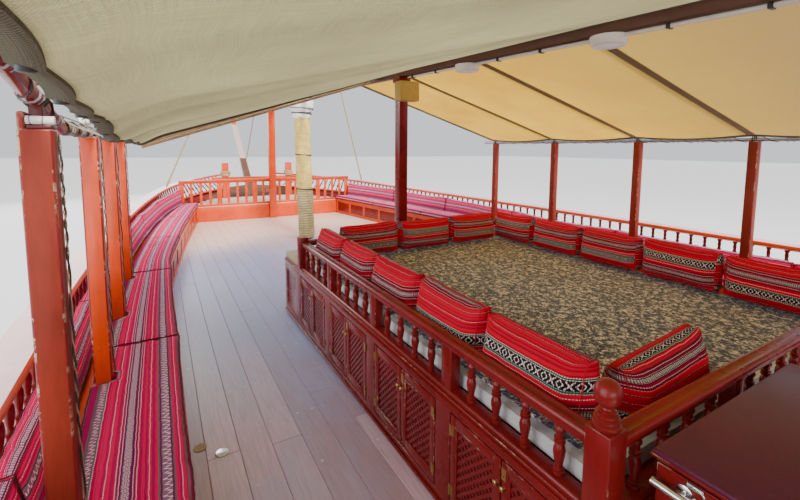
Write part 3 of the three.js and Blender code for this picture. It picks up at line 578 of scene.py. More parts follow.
class DhowSizes(bpy.types.PropertyGroup):
    """Sizes of the boat's visible pieces"""

    deck_plank: length("Deck plank", "Width of a deck plank", 0.165)
    deck_seam: length("Deck seam", "Gap between deck planks", 0.0018)
    edge: length("Edge", "Rounding of planed timber", 0.006)
    baluster_pitch: length("Baluster pitch", "Spacing of the rail's balusters", 0.14)
    baluster_radius: length("Baluster radius", "Largest radius of a turned baluster", 0.022)
    lattice_pitch: length("Lattice pitch", "Spacing of the slats in a door panel", 0.027)
    lattice_slat: length("Lattice slat", "Width of a slat in a door panel", 0.013)
    weave_repeat: length("Weave repeat", "Width of one repeat of the cushion weave", 0.321)
    seat_repeat: length("Seat weave repeat", "Width of one repeat of the seat weave", 0.345)
    rope_radius: length("Rope radius", "Radius of the lashings", 0.006)


def colours():
    return bpy.context.scene.dhow_colours


def sizes():
    return bpy.context.scene.dhow_sizes


MATERIALS = {}


def finish_of(maker):
    """Makes a material once and hands out the same one afterwards"""

    def once():
        if maker.__name__ not in MATERIALS:
            MATERIALS[maker.__name__] = maker()
        return MATERIALS[maker.__name__]

    return once


def gloss_paint(name, colour, chips, roughness, shine=0.35):
    """Brushed gloss paint on wood: streaks, dust in the grain and chips down to bare wood"""
    n = Nodes(name)
    where = n.place()
    cloud = n.noise(where, 2.3, 4, 0.6)
    grain = n.noise(n.scaled(where, 6, 6, 1), 14, 5, 0.65)
    shaded = n.mix(n.step(cloud, 0.3, 0.75), shade(colour, 0.72), shade(colour, 1.18))
    streaked = n.mix(n.times(n.step(grain, 0.45, 0.8), 0.35), shaded, shade(colour, 0.45))
    flake = n.noise(where, 34, 6, 0.7)
    patch = n.noise(where, 5.5, 3, 0.6)
    worn = n.times(n.step(flake, 0.70 - chips, 0.715 - chips), n.step(patch, 0.5, 0.62))
    base = n.mix(worn, streaked, (0.46, 0.33, 0.22))
    rough = n.plus(n.times(cloud, 0.22), roughness - 0.08)
    rough = n.plus(rough, n.times(worn, 0.35))
    normal = n.bump(n.less(n.times(grain, 0.5), worn), 0.0012)
    return n.done(
        base, rough, normal, specular_ior_level=shine, coat_weight=0.4 * shine, coat_roughness=0.15
    )


@finish_of
def paint():
    return gloss_paint("red_brown_paint", colours().paint, 0.0, 0.25, 0.26)


@finish_of
def paint_edge():
    return gloss_paint("rubbed_paint_edge", colours().paint, 0.19, 0.36)


# An orange copy of the red-brown paint and of its rubbed edge: painted sunlight on rails, bow, benches and
# sunlit posts
@finish_of
def sunlit_paint():
    return gloss_paint("orange_brown_paint", colours().paint_sunlit, 0.02, 0.32)


@finish_of
def sunlit_paint_edge():
    return gloss_paint("rubbed_orange_edge", colours().paint_sunlit, 0.19, 0.38)


# A darker copy of the paint for the panes behind the lattices and the pipe chocks: painted shadow
@finish_of
def dark_shadow_paint():
    return gloss_paint("dark_recess_paint", shade(colours().paint, 0.45), -0.2, 0.5)


# The posts' paint as it looks in shade, darker than the sunlit posts: painted shade
@finish_of
def shaded_post_paint():
    return gloss_paint("post_brown_paint", (0.235, 0.030, 0.016), -0.02, 0.42, 0.12)


# Pale pink paint for the cap rail's top faces: painted reflection of the sky
@finish_of
def rail_top_reflection_paint():
    return gloss_paint("faded_rail_paint", (0.84, 0.44, 0.50), 0.0, 0.3)


@finish_of
def counter_paint():
    return gloss_paint("counter_brown_paint", (0.100, 0.012, 0.040), -0.02, 0.34, 0.2)


@finish_of
def ridge_paint():
    return gloss_paint("ridge_brown_paint", (0.12, 0.050, 0.034), -0.05, 0.5)


@finish_of
def deck_wood():
    """Stained planks: each with its own tone, worn paler down the middle, scratched and plugged; blue
    forward of the awning as painted sky reflection, cream towards the bow as painted sunlight
    """
    n = Nodes("stained_deck")
    where = n.place()
    colour = colours().deck
    tone = n.put("ShaderNodeAttribute", output=2, attribute_name="tone")
    grain = n.noise(n.scaled(where, 1, 16, 16), 5, 7, 0.68, 0.4)
    cloud = n.noise(n.scaled(where, 0.6, 1.4, 1), 1.3, 5, 0.6)
    base = n.mix(tone, shade(colour, 0.66), shade(colour, 1.35))
    base = n.mix(n.times(n.step(grain, 0.38, 0.72), 0.5), base, shade(colour, 0.38))
    # Blue from the awning's fore end forward: painted reflection of the sky
    sky_reflection = n.step(n.plus(n.parts(where)[0], n.times(cloud, 2.0)), -2.6, -0.6)
    base = n.mix(n.times(sky_reflection, 0.8), base, (0.26, 0.35, 0.62))
    # Worn patches are paler from wear; their blue is painted sky reflection
    worn = n.step(cloud, 0.46, 0.72)
    base = n.mix(n.times(worn, 0.55), base, (0.40, 0.46, 0.74))
    # Cream towards the bow: painted sunlight on the deck
    bow_sunlight = n.step(n.plus(n.parts(where)[0], n.times(cloud, 1.2)), 1.6, 3.4)
    base = n.mix(n.times(bow_sunlight, 0.8), base, (0.86, 0.60, 0.42))
    scratch = n.noise(n.scaled(where, 2.2, 60, 1), 1.6, 5, 0.8, 0.8)
    scuffed = n.times(n.step(scratch, 0.71, 0.74), n.step(cloud, 0.42, 0.55))
    base = n.mix(n.times(scuffed, 0.85), base, (0.62, 0.54, 0.50))
    u, v, _ = n.parts(n.cloth())
    run = n.less(n.fract(n.over(n.plus(u, 50.0), 0.46)), 0.5)
    run = n.times(run, 0.46)
    side = n.less(n.absolute(v), sizes().deck_plank * 0.29)
    away = n.math("SQRT", n.plus(n.math("POWER", run, 2.0), n.math("POWER", side, 2.0)))
    plug = n.step(away, 0.0095, 0.0075)
    keep = n.step(n.noise(where, 3.1, 1), 0.45, 0.47)
    plug = n.times(plug, keep)
    base = n.mix(plug, base, (0.60, 0.55, 0.52))
    rough = n.plus(0.22, n.times(grain, 0.28))
    rough = n.plus(rough, n.times(worn, 0.12))
    height = n.less(n.times(grain, 0.6), n.times(scuffed, 0.7))
    normal = n.bump(n.plus(height, n.times(plug, 0.4)), 0.0016)
    return n.done(base, rough, normal, coat_weight=0.2, coat_roughness=0.25)


@finish_of
def planking():
    """Oiled hull planks along the map's girth, with limed bottom below the water"""
    n = Nodes("hull_planking")
    where = n.place()
    colour = colours().oil
    u, v, _ = n.parts(n.cloth())
    row = n.over(v, 0.19)
    seam = n.absolute(n.less(n.fract(row), 0.5))
    line = n.step(seam, 0.47, 0.49)
    number = n.math("FLOOR", row)
    shifted = n.plus(n.over(u, 5.1), n.fract(n.times(number, 0.382)))
    butt = n.absolute(n.less(n.fract(shifted), 0.5))
    line = n.math("MAXIMUM", line, n.step(butt, 0.4986, 0.4994))
    plank = n.plus(n.times(number, 7.13), n.times(n.math("FLOOR", shifted), 3.71))
    tone = n.fract(n.times(n.math("SINE", plank), 43.7))
    grain = n.noise(n.scaled(where, 1.2, 14, 14), 4, 6, 0.66, 0.5)
    stain = n.noise(n.scaled(where, 2.5, 2.5, 0.5), 2.2, 5, 0.65)
    base = n.mix(tone, shade(colour, 0.75), shade(colour, 1.4))
    base = n.mix(n.times(n.step(grain, 0.4, 0.7), 0.5), base, shade(colour, 0.4))
    base = n.mix(n.times(n.step(stain, 0.5, 0.75), 0.45), base, (0.10, 0.075, 0.055))
    height = n.parts(where)[2]
    ragged = n.plus(height, n.times(n.noise(where, 1.4, 4), 0.05))
    below = n.step(ragged, 0.09, 0.075)
    lime = n.mix(n.step(stain, 0.35, 0.7), colours().lime, shade(colours().lime, 0.62))
    base = n.mix(below, base, lime)
    base = n.mix(n.times(line, 0.8), base, (0.012, 0.009, 0.007))
    rough = n.plus(0.34, n.times(grain, 0.25))
    rough = n.plus(rough, n.times(below, 0.25))
    normal = n.bump(n.less(n.times(grain, 0.25), line), 0.004)
    return n.done(base, rough, normal)


def timber(name, colour, roughness, stretch=(1, 12, 12), crack=0.5):
    """Bare or oiled timber with long grain"""
    n = Nodes(name)
    where = n.place()
    grain = n.noise(n.scaled(where, *stretch), 6, 6, 0.66, 0.5)
    cloud = n.noise(where, 2.1, 3)
    base = n.mix(cloud, shade(colour, 0.7), shade(colour, 1.3))
    base = n.mix(n.times(n.step(grain, 0.42, 0.72), 0.55), base, shade(colour, 0.42))
    rough = n.plus(roughness, n.times(grain, 0.2))
    return n.done(base, rough, n.bump(grain, 0.003 * crack))


@finish_of
def oiled_wood():
    return timber("oiled_timber", colours().oil, 0.35)


@finish_of
def wetted_wood():
    """Oiled timber, limed below the water and painted pale at the stem's head"""
    n = Nodes("stem_and_rudder_timber")
    where = n.place()
    colour = colours().oil
    grain = n.noise(n.scaled(where, 8, 8, 1.5), 5, 6, 0.66, 0.5)
    stain = n.noise(where, 2.2, 5, 0.65)
    base = n.mix(stain, shade(colour, 0.7), shade(colour, 1.35))
    base = n.mix(n.times(n.step(grain, 0.42, 0.72), 0.5), base, shade(colour, 0.4))
    height = n.plus(n.parts(where)[2], n.times(n.noise(where, 1.4, 4), 0.05))
    lime = n.mix(n.step(stain, 0.35, 0.7), colours().lime, shade(colours().lime, 0.62))
    base = n.mix(n.step(height, 0.09, 0.075), base, lime)
    base = n.mix(n.step(height, 2.44, 2.46), base, (0.60, 0.42, 0.40))
    # The stem head's top takes the orange paint colour, which holds painted sunlight
    base = n.mix(n.step(height, 3.55, 3.57), base, colours().paint_sunlit)
    return n.done(base, n.plus(0.38, n.times(grain, 0.2)), n.bump(grain, 0.003))


@finish_of
def bare_wood():
    return timber("bare_pole", colours().pole, 0.55, (1.5, 12, 12), 1.0)


@finish_of
def pale_pole():
    return timber("pale_pole", (0.62, 0.40, 0.20), 0.55, (12, 1.5, 12), 1.0)


@finish_of
def mast_wood():
    return timber("mast_timber", shade(colours().pole, 0.8), 0.42, (14, 14, 1), 0.8)


@finish_of
def pale_wood():
    return timber("pale_end_grain", (0.50, 0.40, 0.27), 0.6)


def metal(name, colour, roughness, grime, metallic=1.0):
    n = Nodes(name)
    where = n.place()
    patch = n.noise(where, 9, 5, 0.65)
    base = n.mix(n.times(n.step(patch, 0.45, 0.75), grime), colour, shade(colour, 0.35))
    rough = n.plus(roughness, n.times(patch, 0.25 * grime))
    return n.done(base, rough, n.bump(n.noise(where, 60, 3), 0.0004), metallic=metallic)


@finish_of
def steel():
    return metal("stainless_steel", (0.62, 0.63, 0.64), 0.16, 0.2)


@finish_of
def galvanised():
    return metal("galvanised_pipe", (0.42, 0.43, 0.44), 0.34, 0.7)


@finish_of
def brass():
    return metal("rubbed_brass", (0.60, 0.43, 0.16), 0.22, 0.6)


@finish_of
def bronze():
    return metal("cast_bronze", (0.46, 0.28, 0.12), 0.30, 0.8)


@finish_of
def iron():
    return metal("painted_iron", (0.055, 0.06, 0.062), 0.45, 0.6, 0.3)


def plastic(name, colour, roughness):
    n = Nodes(name)
    where = n.place()
    dust = n.noise(where, 12, 4)
    base = n.mix(n.times(n.step(dust, 0.5, 0.75), 0.4), colour, shade(colour, 0.62))
    return n.done(base, n.plus(roughness, n.times(dust, 0.15)), n.bump(dust, 0.0004))


@finish_of
def white_plastic():
    return plastic("white_plastic", (0.78, 0.78, 0.75), 0.3)


@finish_of
def pole_tape():
    """Tape wound in turns round a pole's end, darker in a line between the turns"""
    n = Nodes("pole_tape")
    where = n.place()
    x, y, z = n.parts(where)
    turns = n.fract(n.plus(n.times(y, 34.0), n.noise(where, 9, 2)))
    base = n.mix(n.step(turns, 0.16, 0.04), (0.66, 0.64, 0.60), (0.10, 0.085, 0.07))
    return n.done(base, 0.5, n.bump(turns, 0.002))


@finish_of
def black_plastic():
    return plastic("black_plastic", (0.02, 0.02, 0.022), 0.4)


def threads(n, u, v, pitch):
    """Over-and-under threads of a plain weave, as a height"""
    warp = n.math("SINE", n.times(u, 2 * math.pi / pitch))
    weft = n.math("SINE", n.times(v, 2 * math.pi / pitch))
    return n.times(warp, weft)


def figured(n, u, v, low, high, figure):
    """A band of small repeated figures between two places across the weave: its mask"""
    width = high - low
    q = n.over(n.less(v, low), width)
    inside = n.times(n.math("GREATER_THAN", q, 0.04), n.math("LESS_THAN", q, 0.96))
    cell = n.over(u, width)
    across = n.absolute(n.less(n.fract(cell), 0.5))
    up = n.absolute(n.less(q, 0.5))
    cross = n.math("LESS_THAN", n.absolute(n.less(across, up)), 0.11)
    diamond = n.absolute(n.less(n.plus(across, up), 0.40))
    ring = n.math("LESS_THAN", diamond, 0.085)
    if figure == "diamonds":
        heart = n.math("LESS_THAN", n.plus(across, up), 0.15)
        corner = n.math("LESS_THAN", n.absolute(n.less(n.plus(across, up), 0.68)), 0.06)
        shape = n.math("MAXIMUM", n.math("MAXIMUM", ring, heart), corner)
    elif figure == "zigzag":
        shape = n.math("LESS_THAN", n.absolute(n.less(n.times(across, 1.6), q)), 0.2)
    else:
        odd = n.math("MODULO", n.math("FLOOR", cell), 2.0)
        odd = n.absolute(odd)
        shape = n.put("ShaderNodeMix", {0: odd, 2: cross, 3: ring})
    return n.times(inside, shape)


# Bands across the platform cushions' weave: where each starts as a share of the repeat, and its colour
CUSHION_BANDS = (
    (0.0, "black"), (0.127, "white"), (0.133, "green"), (0.156, "white"), (0.161, "red"), (0.340, "white"),
    (0.346, "red"), (0.482, "white"), (0.488, "red"), (0.575, "white"), (0.581, "crimson"),
    (0.625, "white"),
    (0.631, "crimson"), (0.684, "white"), (0.690, "black"), (0.755, "white"), (0.761, "crimson"),
    (0.80, "white"),
    (0.806, "crimson"), (0.85, "red"), (0.905, "white"), (0.911, "red"), (0.963, "white"), (0.969, "green"),
    (0.994, "white"),
)
CUSHION_FIGURES = ((0.004, 0.123, "crosses"), (0.697, 0.749, "diamonds"))
# The same for the bench seats, from their inner edge outwards, with pale figured bands
SEAT_BANDS = (
    (0.0, "crimson"), (0.025, "green"), (0.050, "red"), (0.0925, "white"), (0.10, "red"), (0.15, "green"),
    (0.1675, "black"), (0.18, "grey"), (0.265, "black"), (0.2775, "green"), (0.295, "red"),
    (0.365, "white"),
    (0.3725, "red"), (0.4625, "white"), (0.47, "crimson"), (0.49, "white"), (0.50, "black"), (0.52, "grey"),
    (0.585, "black"), (0.60, "white"), (0.6075, "crimson"), (0.6275, "white"), (0.635, "red"),
    (0.71, "white"),
    (0.7175, "red"), (0.8175, "white"), (0.825, "green"), (0.84, "grey"), (0.91, "green"),
    (0.93, "crimson"),
)
SEAT_FIGURES = ((0.18, 0.265, "zigzag"), (0.52, 0.585, "diamonds"), (0.84, 0.91, "zigzag"))


def striped_weave(name, bands, figures, repeat, phase=0.0, pink_light_tint=0.0):
    """Red cloth woven in bands, with dotted lines and rows of small figures, and visible threads"""
    n = Nodes(name)
    dyes = colours()
    u, v, _ = n.parts(n.cloth())
    share = n.fract(n.plus(n.over(v, repeat), phase + 20.0))
    base = n.ramp(share, [(at, tuple(getattr(dyes, word))) for at, word in bands], constant=True)
    streaks = n.noise(n.scaled(n.cloth(), 0, 1, 0), 80, 2, 0.5)
    base = n.mix(n.times(n.step(streaks, 0.50, 0.55), 0.7), base, (0.42, 0.7, 0.8), "MULTIPLY")
    run = n.over(u, repeat)
    drawn = None
    for low, high, figure in figures:
        mask = figured(n, run, share, low, high, figure)
        drawn = mask if drawn is None else n.math("MAXIMUM", drawn, mask)
    base = n.mix(drawn, base, dyes.white)
    dash = n.fract(n.over(u, 0.011))
    pale = n.math("GREATER_THAN", n.parts(base)[1], 0.40)
    gap = n.times(pale, n.math("GREATER_THAN", dash, 0.6))
    base = n.mix(n.times(gap, 0.85), base, dyes.crimson)
    where = n.place()
    fade = n.noise(where, 3.5, 4, 0.6)
    base = n.mix(n.times(n.step(fade, 0.35, 0.8), 0.18), base, (0.85, 0.30, 0.30), "SOFT_LIGHT")
    # A pink cast added over the weave: painted tint of the warm light on the seats
    if pink_light_tint:
        base = n.mix(1.0, base, (2 * pink_light_tint, 0.0, pink_light_tint), "ADD")
    weave = threads(n, u, v, 0.0032)
    slub = n.noise(n.scaled(n.cloth(), 40, 400, 1), 3, 2)
    # Darker where the threads dip under: painted shade between the threads
    base = n.mix(n.times(n.step(weave, 0.2, -0.9), 0.22), base, (0.0, 0.0, 0.0), "MULTIPLY")
    height = n.plus(n.times(weave, 0.5), n.times(slub, 0.5))
    return n.done(base, 0.9, n.bump(height, 0.0009), specular_ior_level=0.12)


@finish_of
def cushion_weave():
    return striped_weave("bolster_weave", CUSHION_BANDS, CUSHION_FIGURES, sizes().weave_repeat)


@finish_of
def seat_weave():
    return striped_weave("seat_weave", SEAT_BANDS, SEAT_FIGURES, sizes().seat_repeat, -0.229, 0.09)


@finish_of
def seam_cloth():
    return timber("cushion_seam", (0.10, 0.004, 0.012), 0.9, (30, 30, 30), 0.3)


@finish_of
def red_seam():
    return timber("red_seam", (0.42, 0.004, 0.020), 0.9, (30, 30, 30), 0.3)


@finish_of
def rug_pile():
    """Dark cut pile with an all-over ground of pale leaves, sprays and small flowers"""
    n = Nodes("flowered_rug")
    dyes = colours()
    where = n.place()
    warp = n.put("ShaderNodeTexNoise", {"Vector": where, "Scale": 7.0, "Detail": 2.0}, output=1)
    bent = n.put("ShaderNodeMix", {0: 0.09, 4: where, 5: warp}, output=1, data_type="VECTOR")
    leaf = n.put("ShaderNodeTexVoronoi", {"Vector": bent, "Scale": 52.0}, distance="CHEBYCHEV")
    spray = n.put("ShaderNodeTexVoronoi", {"Vector": bent, "Scale": 33.0}, feature="DISTANCE_TO_EDGE")
    flower = n.put("ShaderNodeTexVoronoi", {"Vector": where, "Scale": 16.0})
    speck = n.noise(where, 150, 4, 0.7)
    big = n.noise(where, 23, 5, 0.75)
    pale = n.times(n.step(leaf, 0.46, 0.40), n.step(big, 0.47, 0.54))
    stem = n.step(spray, 0.055, 0.035)
    petal = n.times(n.step(flower, 0.30, 0.26), n.step(flower, 0.10, 0.13))
    cover = n.math("MAXIMUM", n.math("MAXIMUM", pale, n.times(stem, 0.5)), n.times(petal, 0.9))
    ragged = n.times(cover, n.step(speck, 0.40, 0.50))
    tone = n.mix(n.step(big, 0.35, 0.65), shade(dyes.rug_leaf, 0.62), shade(dyes.rug_leaf, 1.15))
    base = n.mix(n.step(speck, 0.35, 0.7), shade(dyes.rug_ground, 0.6), shade(dyes.rug_ground, 1.9))
    base = n.mix(ragged, base, tone)
    pile = n.noise(where, 420, 2)
    return n.done(base, 0.95, n.bump(n.plus(pile, n.times(ragged, 0.4)), 0.003), sheen_weight=0.2)


def shade_cloth(name, colour, through, near=None):
    """Open-weave awning cloth that lets daylight through; it may be greyer aft of the platform's middle, as
    painted shade
    """
    n = Nodes(name)
    where = n.place()
    u, v, _ = n.parts(n.cloth())
    weave = threads(n, u, v, 0.006)
    line = n.noise(n.scaled(n.cloth(), 3, 160, 1), 2, 3)
    cross = n.noise(n.scaled(n.cloth(), 160, 3, 1), 2, 3)
    cloud = n.noise(where, 1.2, 4, 0.6)
    base = n.mix(n.step(cloud, 0.3, 0.75), shade(colour, 0.86), shade(colour, 1.1))
    # Greyer aft of the platform's middle: painted shade on the cloth
    if near:
        base = n.mix(n.step(n.parts(where)[0], -2.2, -4.4), base, near)
    thread = n.step(n.plus(line, cross), 0.85, 1.15)
    base = n.mix(n.times(thread, 0.3), base, shade(colour, 0.6))
    # Darker where the threads dip under: painted shade in the weave
    base = n.mix(n.times(n.step(weave, 0.1, -0.8), 0.35), base, shade(colour, 0.45))
    normal = n.bump(n.plus(weave, thread), 0.0012)
    material = n.done(base, 0.9, normal)
    glow = n.put("ShaderNodeBsdfTranslucent", {"Color": base, "Normal": normal})
    mixed = n.put("ShaderNodeMixShader", {0: through, 1: n.shader.outputs[0], 2: glow})
    n.tree.links.new(mixed, n.tree.nodes["Material Output"].inputs[0])
    return material


@finish_of
def awning_cloth():
    return shade_cloth("awning_cloth", colours().awning, 0.7)


# The starboard cloth: warm orange as painted sunlight, greyer aft as painted shade
@finish_of
def warm_awning_cloth():
    return shade_cloth("warm_awning_cloth", colours().awning_sunlit, 0.85, (0.60, 0.50, 0.32))


@finish_of
def band_cloth():
    return shade_cloth("awning_band", (0.36, 0.27, 0.14), 0.3)


@finish_of
def hem_cloth():
    return shade_cloth("awning_hem", colours().hem, 0.25)


@finish_of
def sail_cloth():
    return shade_cloth("furled_canvas", (0.62, 0.56, 0.44), 0.1)


@finish_of
def foam_cover():
    n = Nodes("foam_cover")
    where = n.place()
    crease = n.noise(where, 9, 4, 0.6)
    base = n.mix(crease, (0.70, 0.71, 0.72), (0.50, 0.51, 0.53))
    return n.done(base, 0.7, n.bump(crease, 0.006))


@finish_of
def palm_matting():
    """Strips of palm leaf woven round the mast"""
    n = Nodes("palm_matting")
    u, v, _ = n.parts(n.cloth())
    where = n.place()
    up = n.over(u, 0.028)
    round_ = n.over(v, 0.028)
    check = n.math("MODULO", n.plus(n.math("FLOOR", up), n.math("FLOOR", round_)), 2.0)
    rise = n.absolute(n.math("SINE", n.times(up, math.pi)))
    side = n.absolute(n.math("SINE", n.times(round_, math.pi)))
    strip = n.put("ShaderNodeMix", {0: check, 2: rise, 3: side})
    tone = n.noise(where, 8, 4, 0.7)
    colour = colours().matting
    base = n.mix(n.step(tone, 0.3, 0.75), shade(colour, 0.62), shade(colour, 1.3))
    # Darker where the strips pass under: painted shade between the strips
    base = n.mix(n.times(n.step(strip, 0.45, 0.1), 0.6), base, shade(colour, 0.3))
    return n.done(base, 0.75, n.bump(n.plus(strip, n.times(tone, 0.3)), 0.006))


@finish_of
def rope_lay():
    n = Nodes("laid_rope")
    where = n.place()
    x, y, z = n.parts(where)
    twist = n.plus(n.plus(x, y), z)
    strand = n.absolute(n.math("SINE", n.times(twist, 260.0)))
    # Darker between the strands: painted shade in the lay's hollows
    base = n.mix(strand, shade(colours().rope, 0.4), shade(colours().rope, 1.15))
    return n.done(base, 0.85, n.bump(strand, 0.003))


@finish_of
def olive_matting():
    """Coarser, darker palm matting laid in rounds; its darkness is partly its own colour and partly painted
    shade below the mast's lit part
    """
    n = Nodes("olive_palm_matting")
    where = n.place()
    u = n.parts(n.cloth())[0]
    rise = n.absolute(n.math("SINE", n.times(u, math.pi / 0.045)))
    tone = n.noise(where, 8, 4, 0.7)
    base = n.mix(n.step(tone, 0.3, 0.75), (0.36, 0.29, 0.11), (0.62, 0.51, 0.24))
    # Dark grooves between the rounds: painted shade
    base = n.mix(n.times(n.step(rise, 0.35, 0.1), 0.75), base, (0.09, 0.07, 0.025))
    return n.done(base, 0.75, n.bump(n.plus(rise, n.times(tone, 0.3)), 0.008))


@finish_of
def cord_grey():
    return timber("grey_cord", (0.30, 0.27, 0.26), 0.8, (6, 6, 6), 0.3)


@finish_of
def cord_pale():
    return timber("pale_cord", (0.34, 0.20, 0.14), 0.8, (6, 6, 6), 0.3)


@finish_of
def tarred_line():
    n = Nodes("tarred_line")
    where = n.place()
    x, y, z = n.parts(where)
    strand = n.absolute(n.math("SINE", n.times(n.plus(n.plus(x, y), z), 300.0)))
    # Darker between the strands: painted shade in the hollows
    base = n.mix(strand, (0.012, 0.010, 0.008), (0.055, 0.043, 0.03))
    return n.done(base, 0.7, n.bump(strand, 0.002))


def box_map(obj, plank=False):
    """A map in metres: along X and across from each plank's middle, or along X and across Y"""
    layer = obj.data.uv_layers.get("cloth") or obj.data.uv_layers.new(name="cloth")
    middles = obj.data.attributes.get("middle") if plank else None
    for loop in obj.data.loops:
        point = obj.data.vertices[loop.vertex_index].co
        across = point.y - (middles.data[loop.vertex_index].value if middles else 0)
        layer.data[loop.index].uv = (point.x, across)


def planked(x0, x1, widest, top, thick, seed):
    """Deck planks clipped to a half breadth: random butts, and a tone of its own for each plank"""
    rng = random.Random(seed)
    width = sizes().deck_plank
    gap = sizes().deck_seam
    count = int(max(widest(x) for x in spread(x0, x1, 12)) / width) + 1
    boxes, tones, middles = [], [], []
    for k in range(-count, count):
        y0, y1 = k * width + gap / 2, (k + 1) * width - gap / 2
        far = max(abs(y0), abs(y1))
        inside = [x for x in spread(x0, x1, 160) if widest(x) > far]
        if len(inside) < 4:
            continue
        start, end = inside[0], inside[-1]
        at = start
        while at < end - 0.02:
            to = min(end, at + rng.uniform(2.6, 4.6))
            if end - to < 0.9:
                to = end
            boxes.append(((at, y0, top - thick), (to - gap, y1, top)))
            tones.append(rng.random())
            middles.append((y0 + y1) / 2)
            at = to
    obj = timbers(boxes)
    for word, values in (("tone", tones), ("middle", middles)):
        layer = obj.data.attributes.new(word, "FLOAT", "POINT")
        layer.data.foreach_set("value", np.repeat(values, 8).astype(np.float32))
    bevel(obj, PLANK_EDGE, 1, -1)
    box_map(obj, plank=True)
    return obj


SUN_WAY = (0.80, 0.05, -0.60)  # the way the light falls: from aft, as the photograph's shadows show


def looking(name, data, place, ahead, roll=0.0):
    """A lamp or camera at a place, facing a direction"""
    obj = bpy.data.objects.new(name, data)
    obj.location = place
    turned = Vector(ahead).to_track_quat("-Z", "Y").to_matrix() @ Matrix.Rotation(-roll, 3, "Z")
    obj.rotation_euler = turned.to_euler()
    bpy.context.scene.collection.objects.link(obj)
    return obj


class DHOW_OT_stage(bpy.types.Operator):
    """Pale floor at the waterline, soft daylight and the photograph's camera"""

    bl_idname = "dhow.stage"
    bl_label = "Stage"

    def execute(self, context):
        bpy.ops.object.select_all(action="DESELECT")
        bpy.ops.mesh.primitive_grid_add(x_subdivisions=2, y_subdivisions=2, size=240)
        floor = context.object
        floor.name = "studio_floor"
        n = Nodes("studio_floor")
        floor.data.materials.append(n.done((0.74, 0.75, 0.76), 0.6))
        world = bpy.data.worlds.new("studio_air")
        world.use_nodes = True
        air = world.node_tree.nodes["Background"].inputs
        air[0].default_value = (0.90, 0.95, 1.0, 1)
        air[1].default_value = 0.95
        context.scene.world = world
        lights = (
            ("high_softbox", (-6, -6, 16), (0, 0, 1.5), 16, 3400, (1.0, 0.97, 0.92)),
            ("fore_softbox", (20, 6, 9), (1, 0, 2), 12, 1800, (1.0, 0.98, 0.95)),
            ("aft_softbox", (-17, 10, 7), (-4, 0, 2), 10, 450, (0.95, 0.98, 1.0)),
            ("port_softbox", (-4, 13, 5), (-3, 0, 1.5), 9, 1100, (0.94, 0.97, 1.0)),
            ("low_softbox", (-14, 3.5, 3.2), (-3, 0, 1.6), 6, 420, (1.0, 0.98, 0.95)),
        )
        for name, place, target, size, power, colour in lights:
            light = bpy.data.lights.new(name, "AREA")
            light.energy, light.size, light.color = power, size, colour
            looking(name, light, place, Vector(target) - Vector(place))
        sun = bpy.data.lights.new("soft_sun", "SUN")
        sun.energy, sun.angle, sun.color = 5.2, 0.2, (1.0, 0.95, 0.86)
        looking("soft_sun", sun, (0, 0, 0), SUN_WAY)
        view = bpy.data.cameras.new("photograph_view")
        view.lens, view.sensor_width, view.shift_y = CAMERA_LENS, 36, CAMERA_SHIFT
        view.clip_start, view.clip_end = 0.05, 400
        yaw, pitch, roll = (math.radians(a) for a in (CAMERA_YAW, CAMERA_PITCH, CAMERA_ROLL))
        ahead = (math.cos(yaw) * math.cos(pitch), -math.sin(yaw) * math.cos(pitch), -math.sin(pitch))
        context.scene.camera = looking("photograph_view", view, CAMERA_PLACE, ahead, roll)
        return {"FINISHED"}


def hull_side(x, steps=22):
    """Points down one station of the hull, from the deck to the keel"""
    half, round_, hollow, lean = section_at(x)
    points = []
    for t in spread(1, 0, steps):
        z = LOWEST_PLANK + (DECK - 0.06 - LOWEST_PLANK) * t
        share = (1 - (1 - t) ** round_) ** hollow
        points.append((x + lean * (z - DECK), KEEL_HALF + (half - KEEL_HALF) * share, z))
    return points


def hull_stations(count=56):
    return spread(SECTIONS[0][0], SECTIONS[-1][0], count)


class DHOW_OT_hull(bpy.types.Operator):
    """Planked hull with its rubbing strakes, keel, stem and sternpost"""

    bl_idname = "dhow.hull"
    bl_label = "Hull"

    def execute(self, context):
        rings = []
        for x in hull_stations():
            port = hull_side(x)
            rings.append(port + [(px, -py, pz) for px, py, pz in reversed(port)])
        hull = loft("hull", rings)
        window = timbers([((-10.6, -0.9, -1.4), (-8.85, 0.9, -0.26))])
        put_modifier(hull, "BOOLEAN", object=window, operation="DIFFERENCE", solver="EXACT")
        bpy.data.objects.remove(window)
        settle(paint_over(smooth(hull, 40), planking()), "hull_planks", "oiled_wood", "hull")
        for name, side in SIDES:
            bands = []
            for rise, depth, proud in ((-0.16, 0.09, 0.045), (-0.52, 0.07, 0.035)):
                ring = []
                for x in hull_stations(60)[1:-1]:
                    half, round_, hollow, lean = section_at(x)
                    z = DECK + rise
                    share = 1 - (1 - (z - LOWEST_PLANK) / (DECK - 0.06 - LOWEST_PLANK)) ** round_
                    y = KEEL_HALF + (half - KEEL_HALF) * share ** hollow
                    px = x + lean * (z - DECK)
                    low, high = z - depth / 2, z + depth / 2
                    inn, out = side * (y - 0.04), side * (y + proud)
                    ring.append(
                        [(px, inn, low), (px, out, low + 0.012), (px, out, high - 0.02), (px, inn, high)]
                    )
                bands.append(loft("strake", ring))
            strake = ease(join(bands), 0.012)
            settle(painted_sunlit(strake), f"rubbing_strakes_{name}", "paint")
        backbone = from_node("backbone", 0.02, 3, (wetted_wood(),))
        settle(backbone, "keel_stem_and_sternpost", "oiled_wood", "backbone")
        return {"FINISHED"}


def deck_half(x):
    return half_at(x, DECK) - BULWARK_THICK - 0.01


def step_ring(x, half, top):
    """A station of the solid that carries a raised deck"""
    return [(x, half, top), (x, half, DECK), (x, -half, DECK), (x, -half, top)]


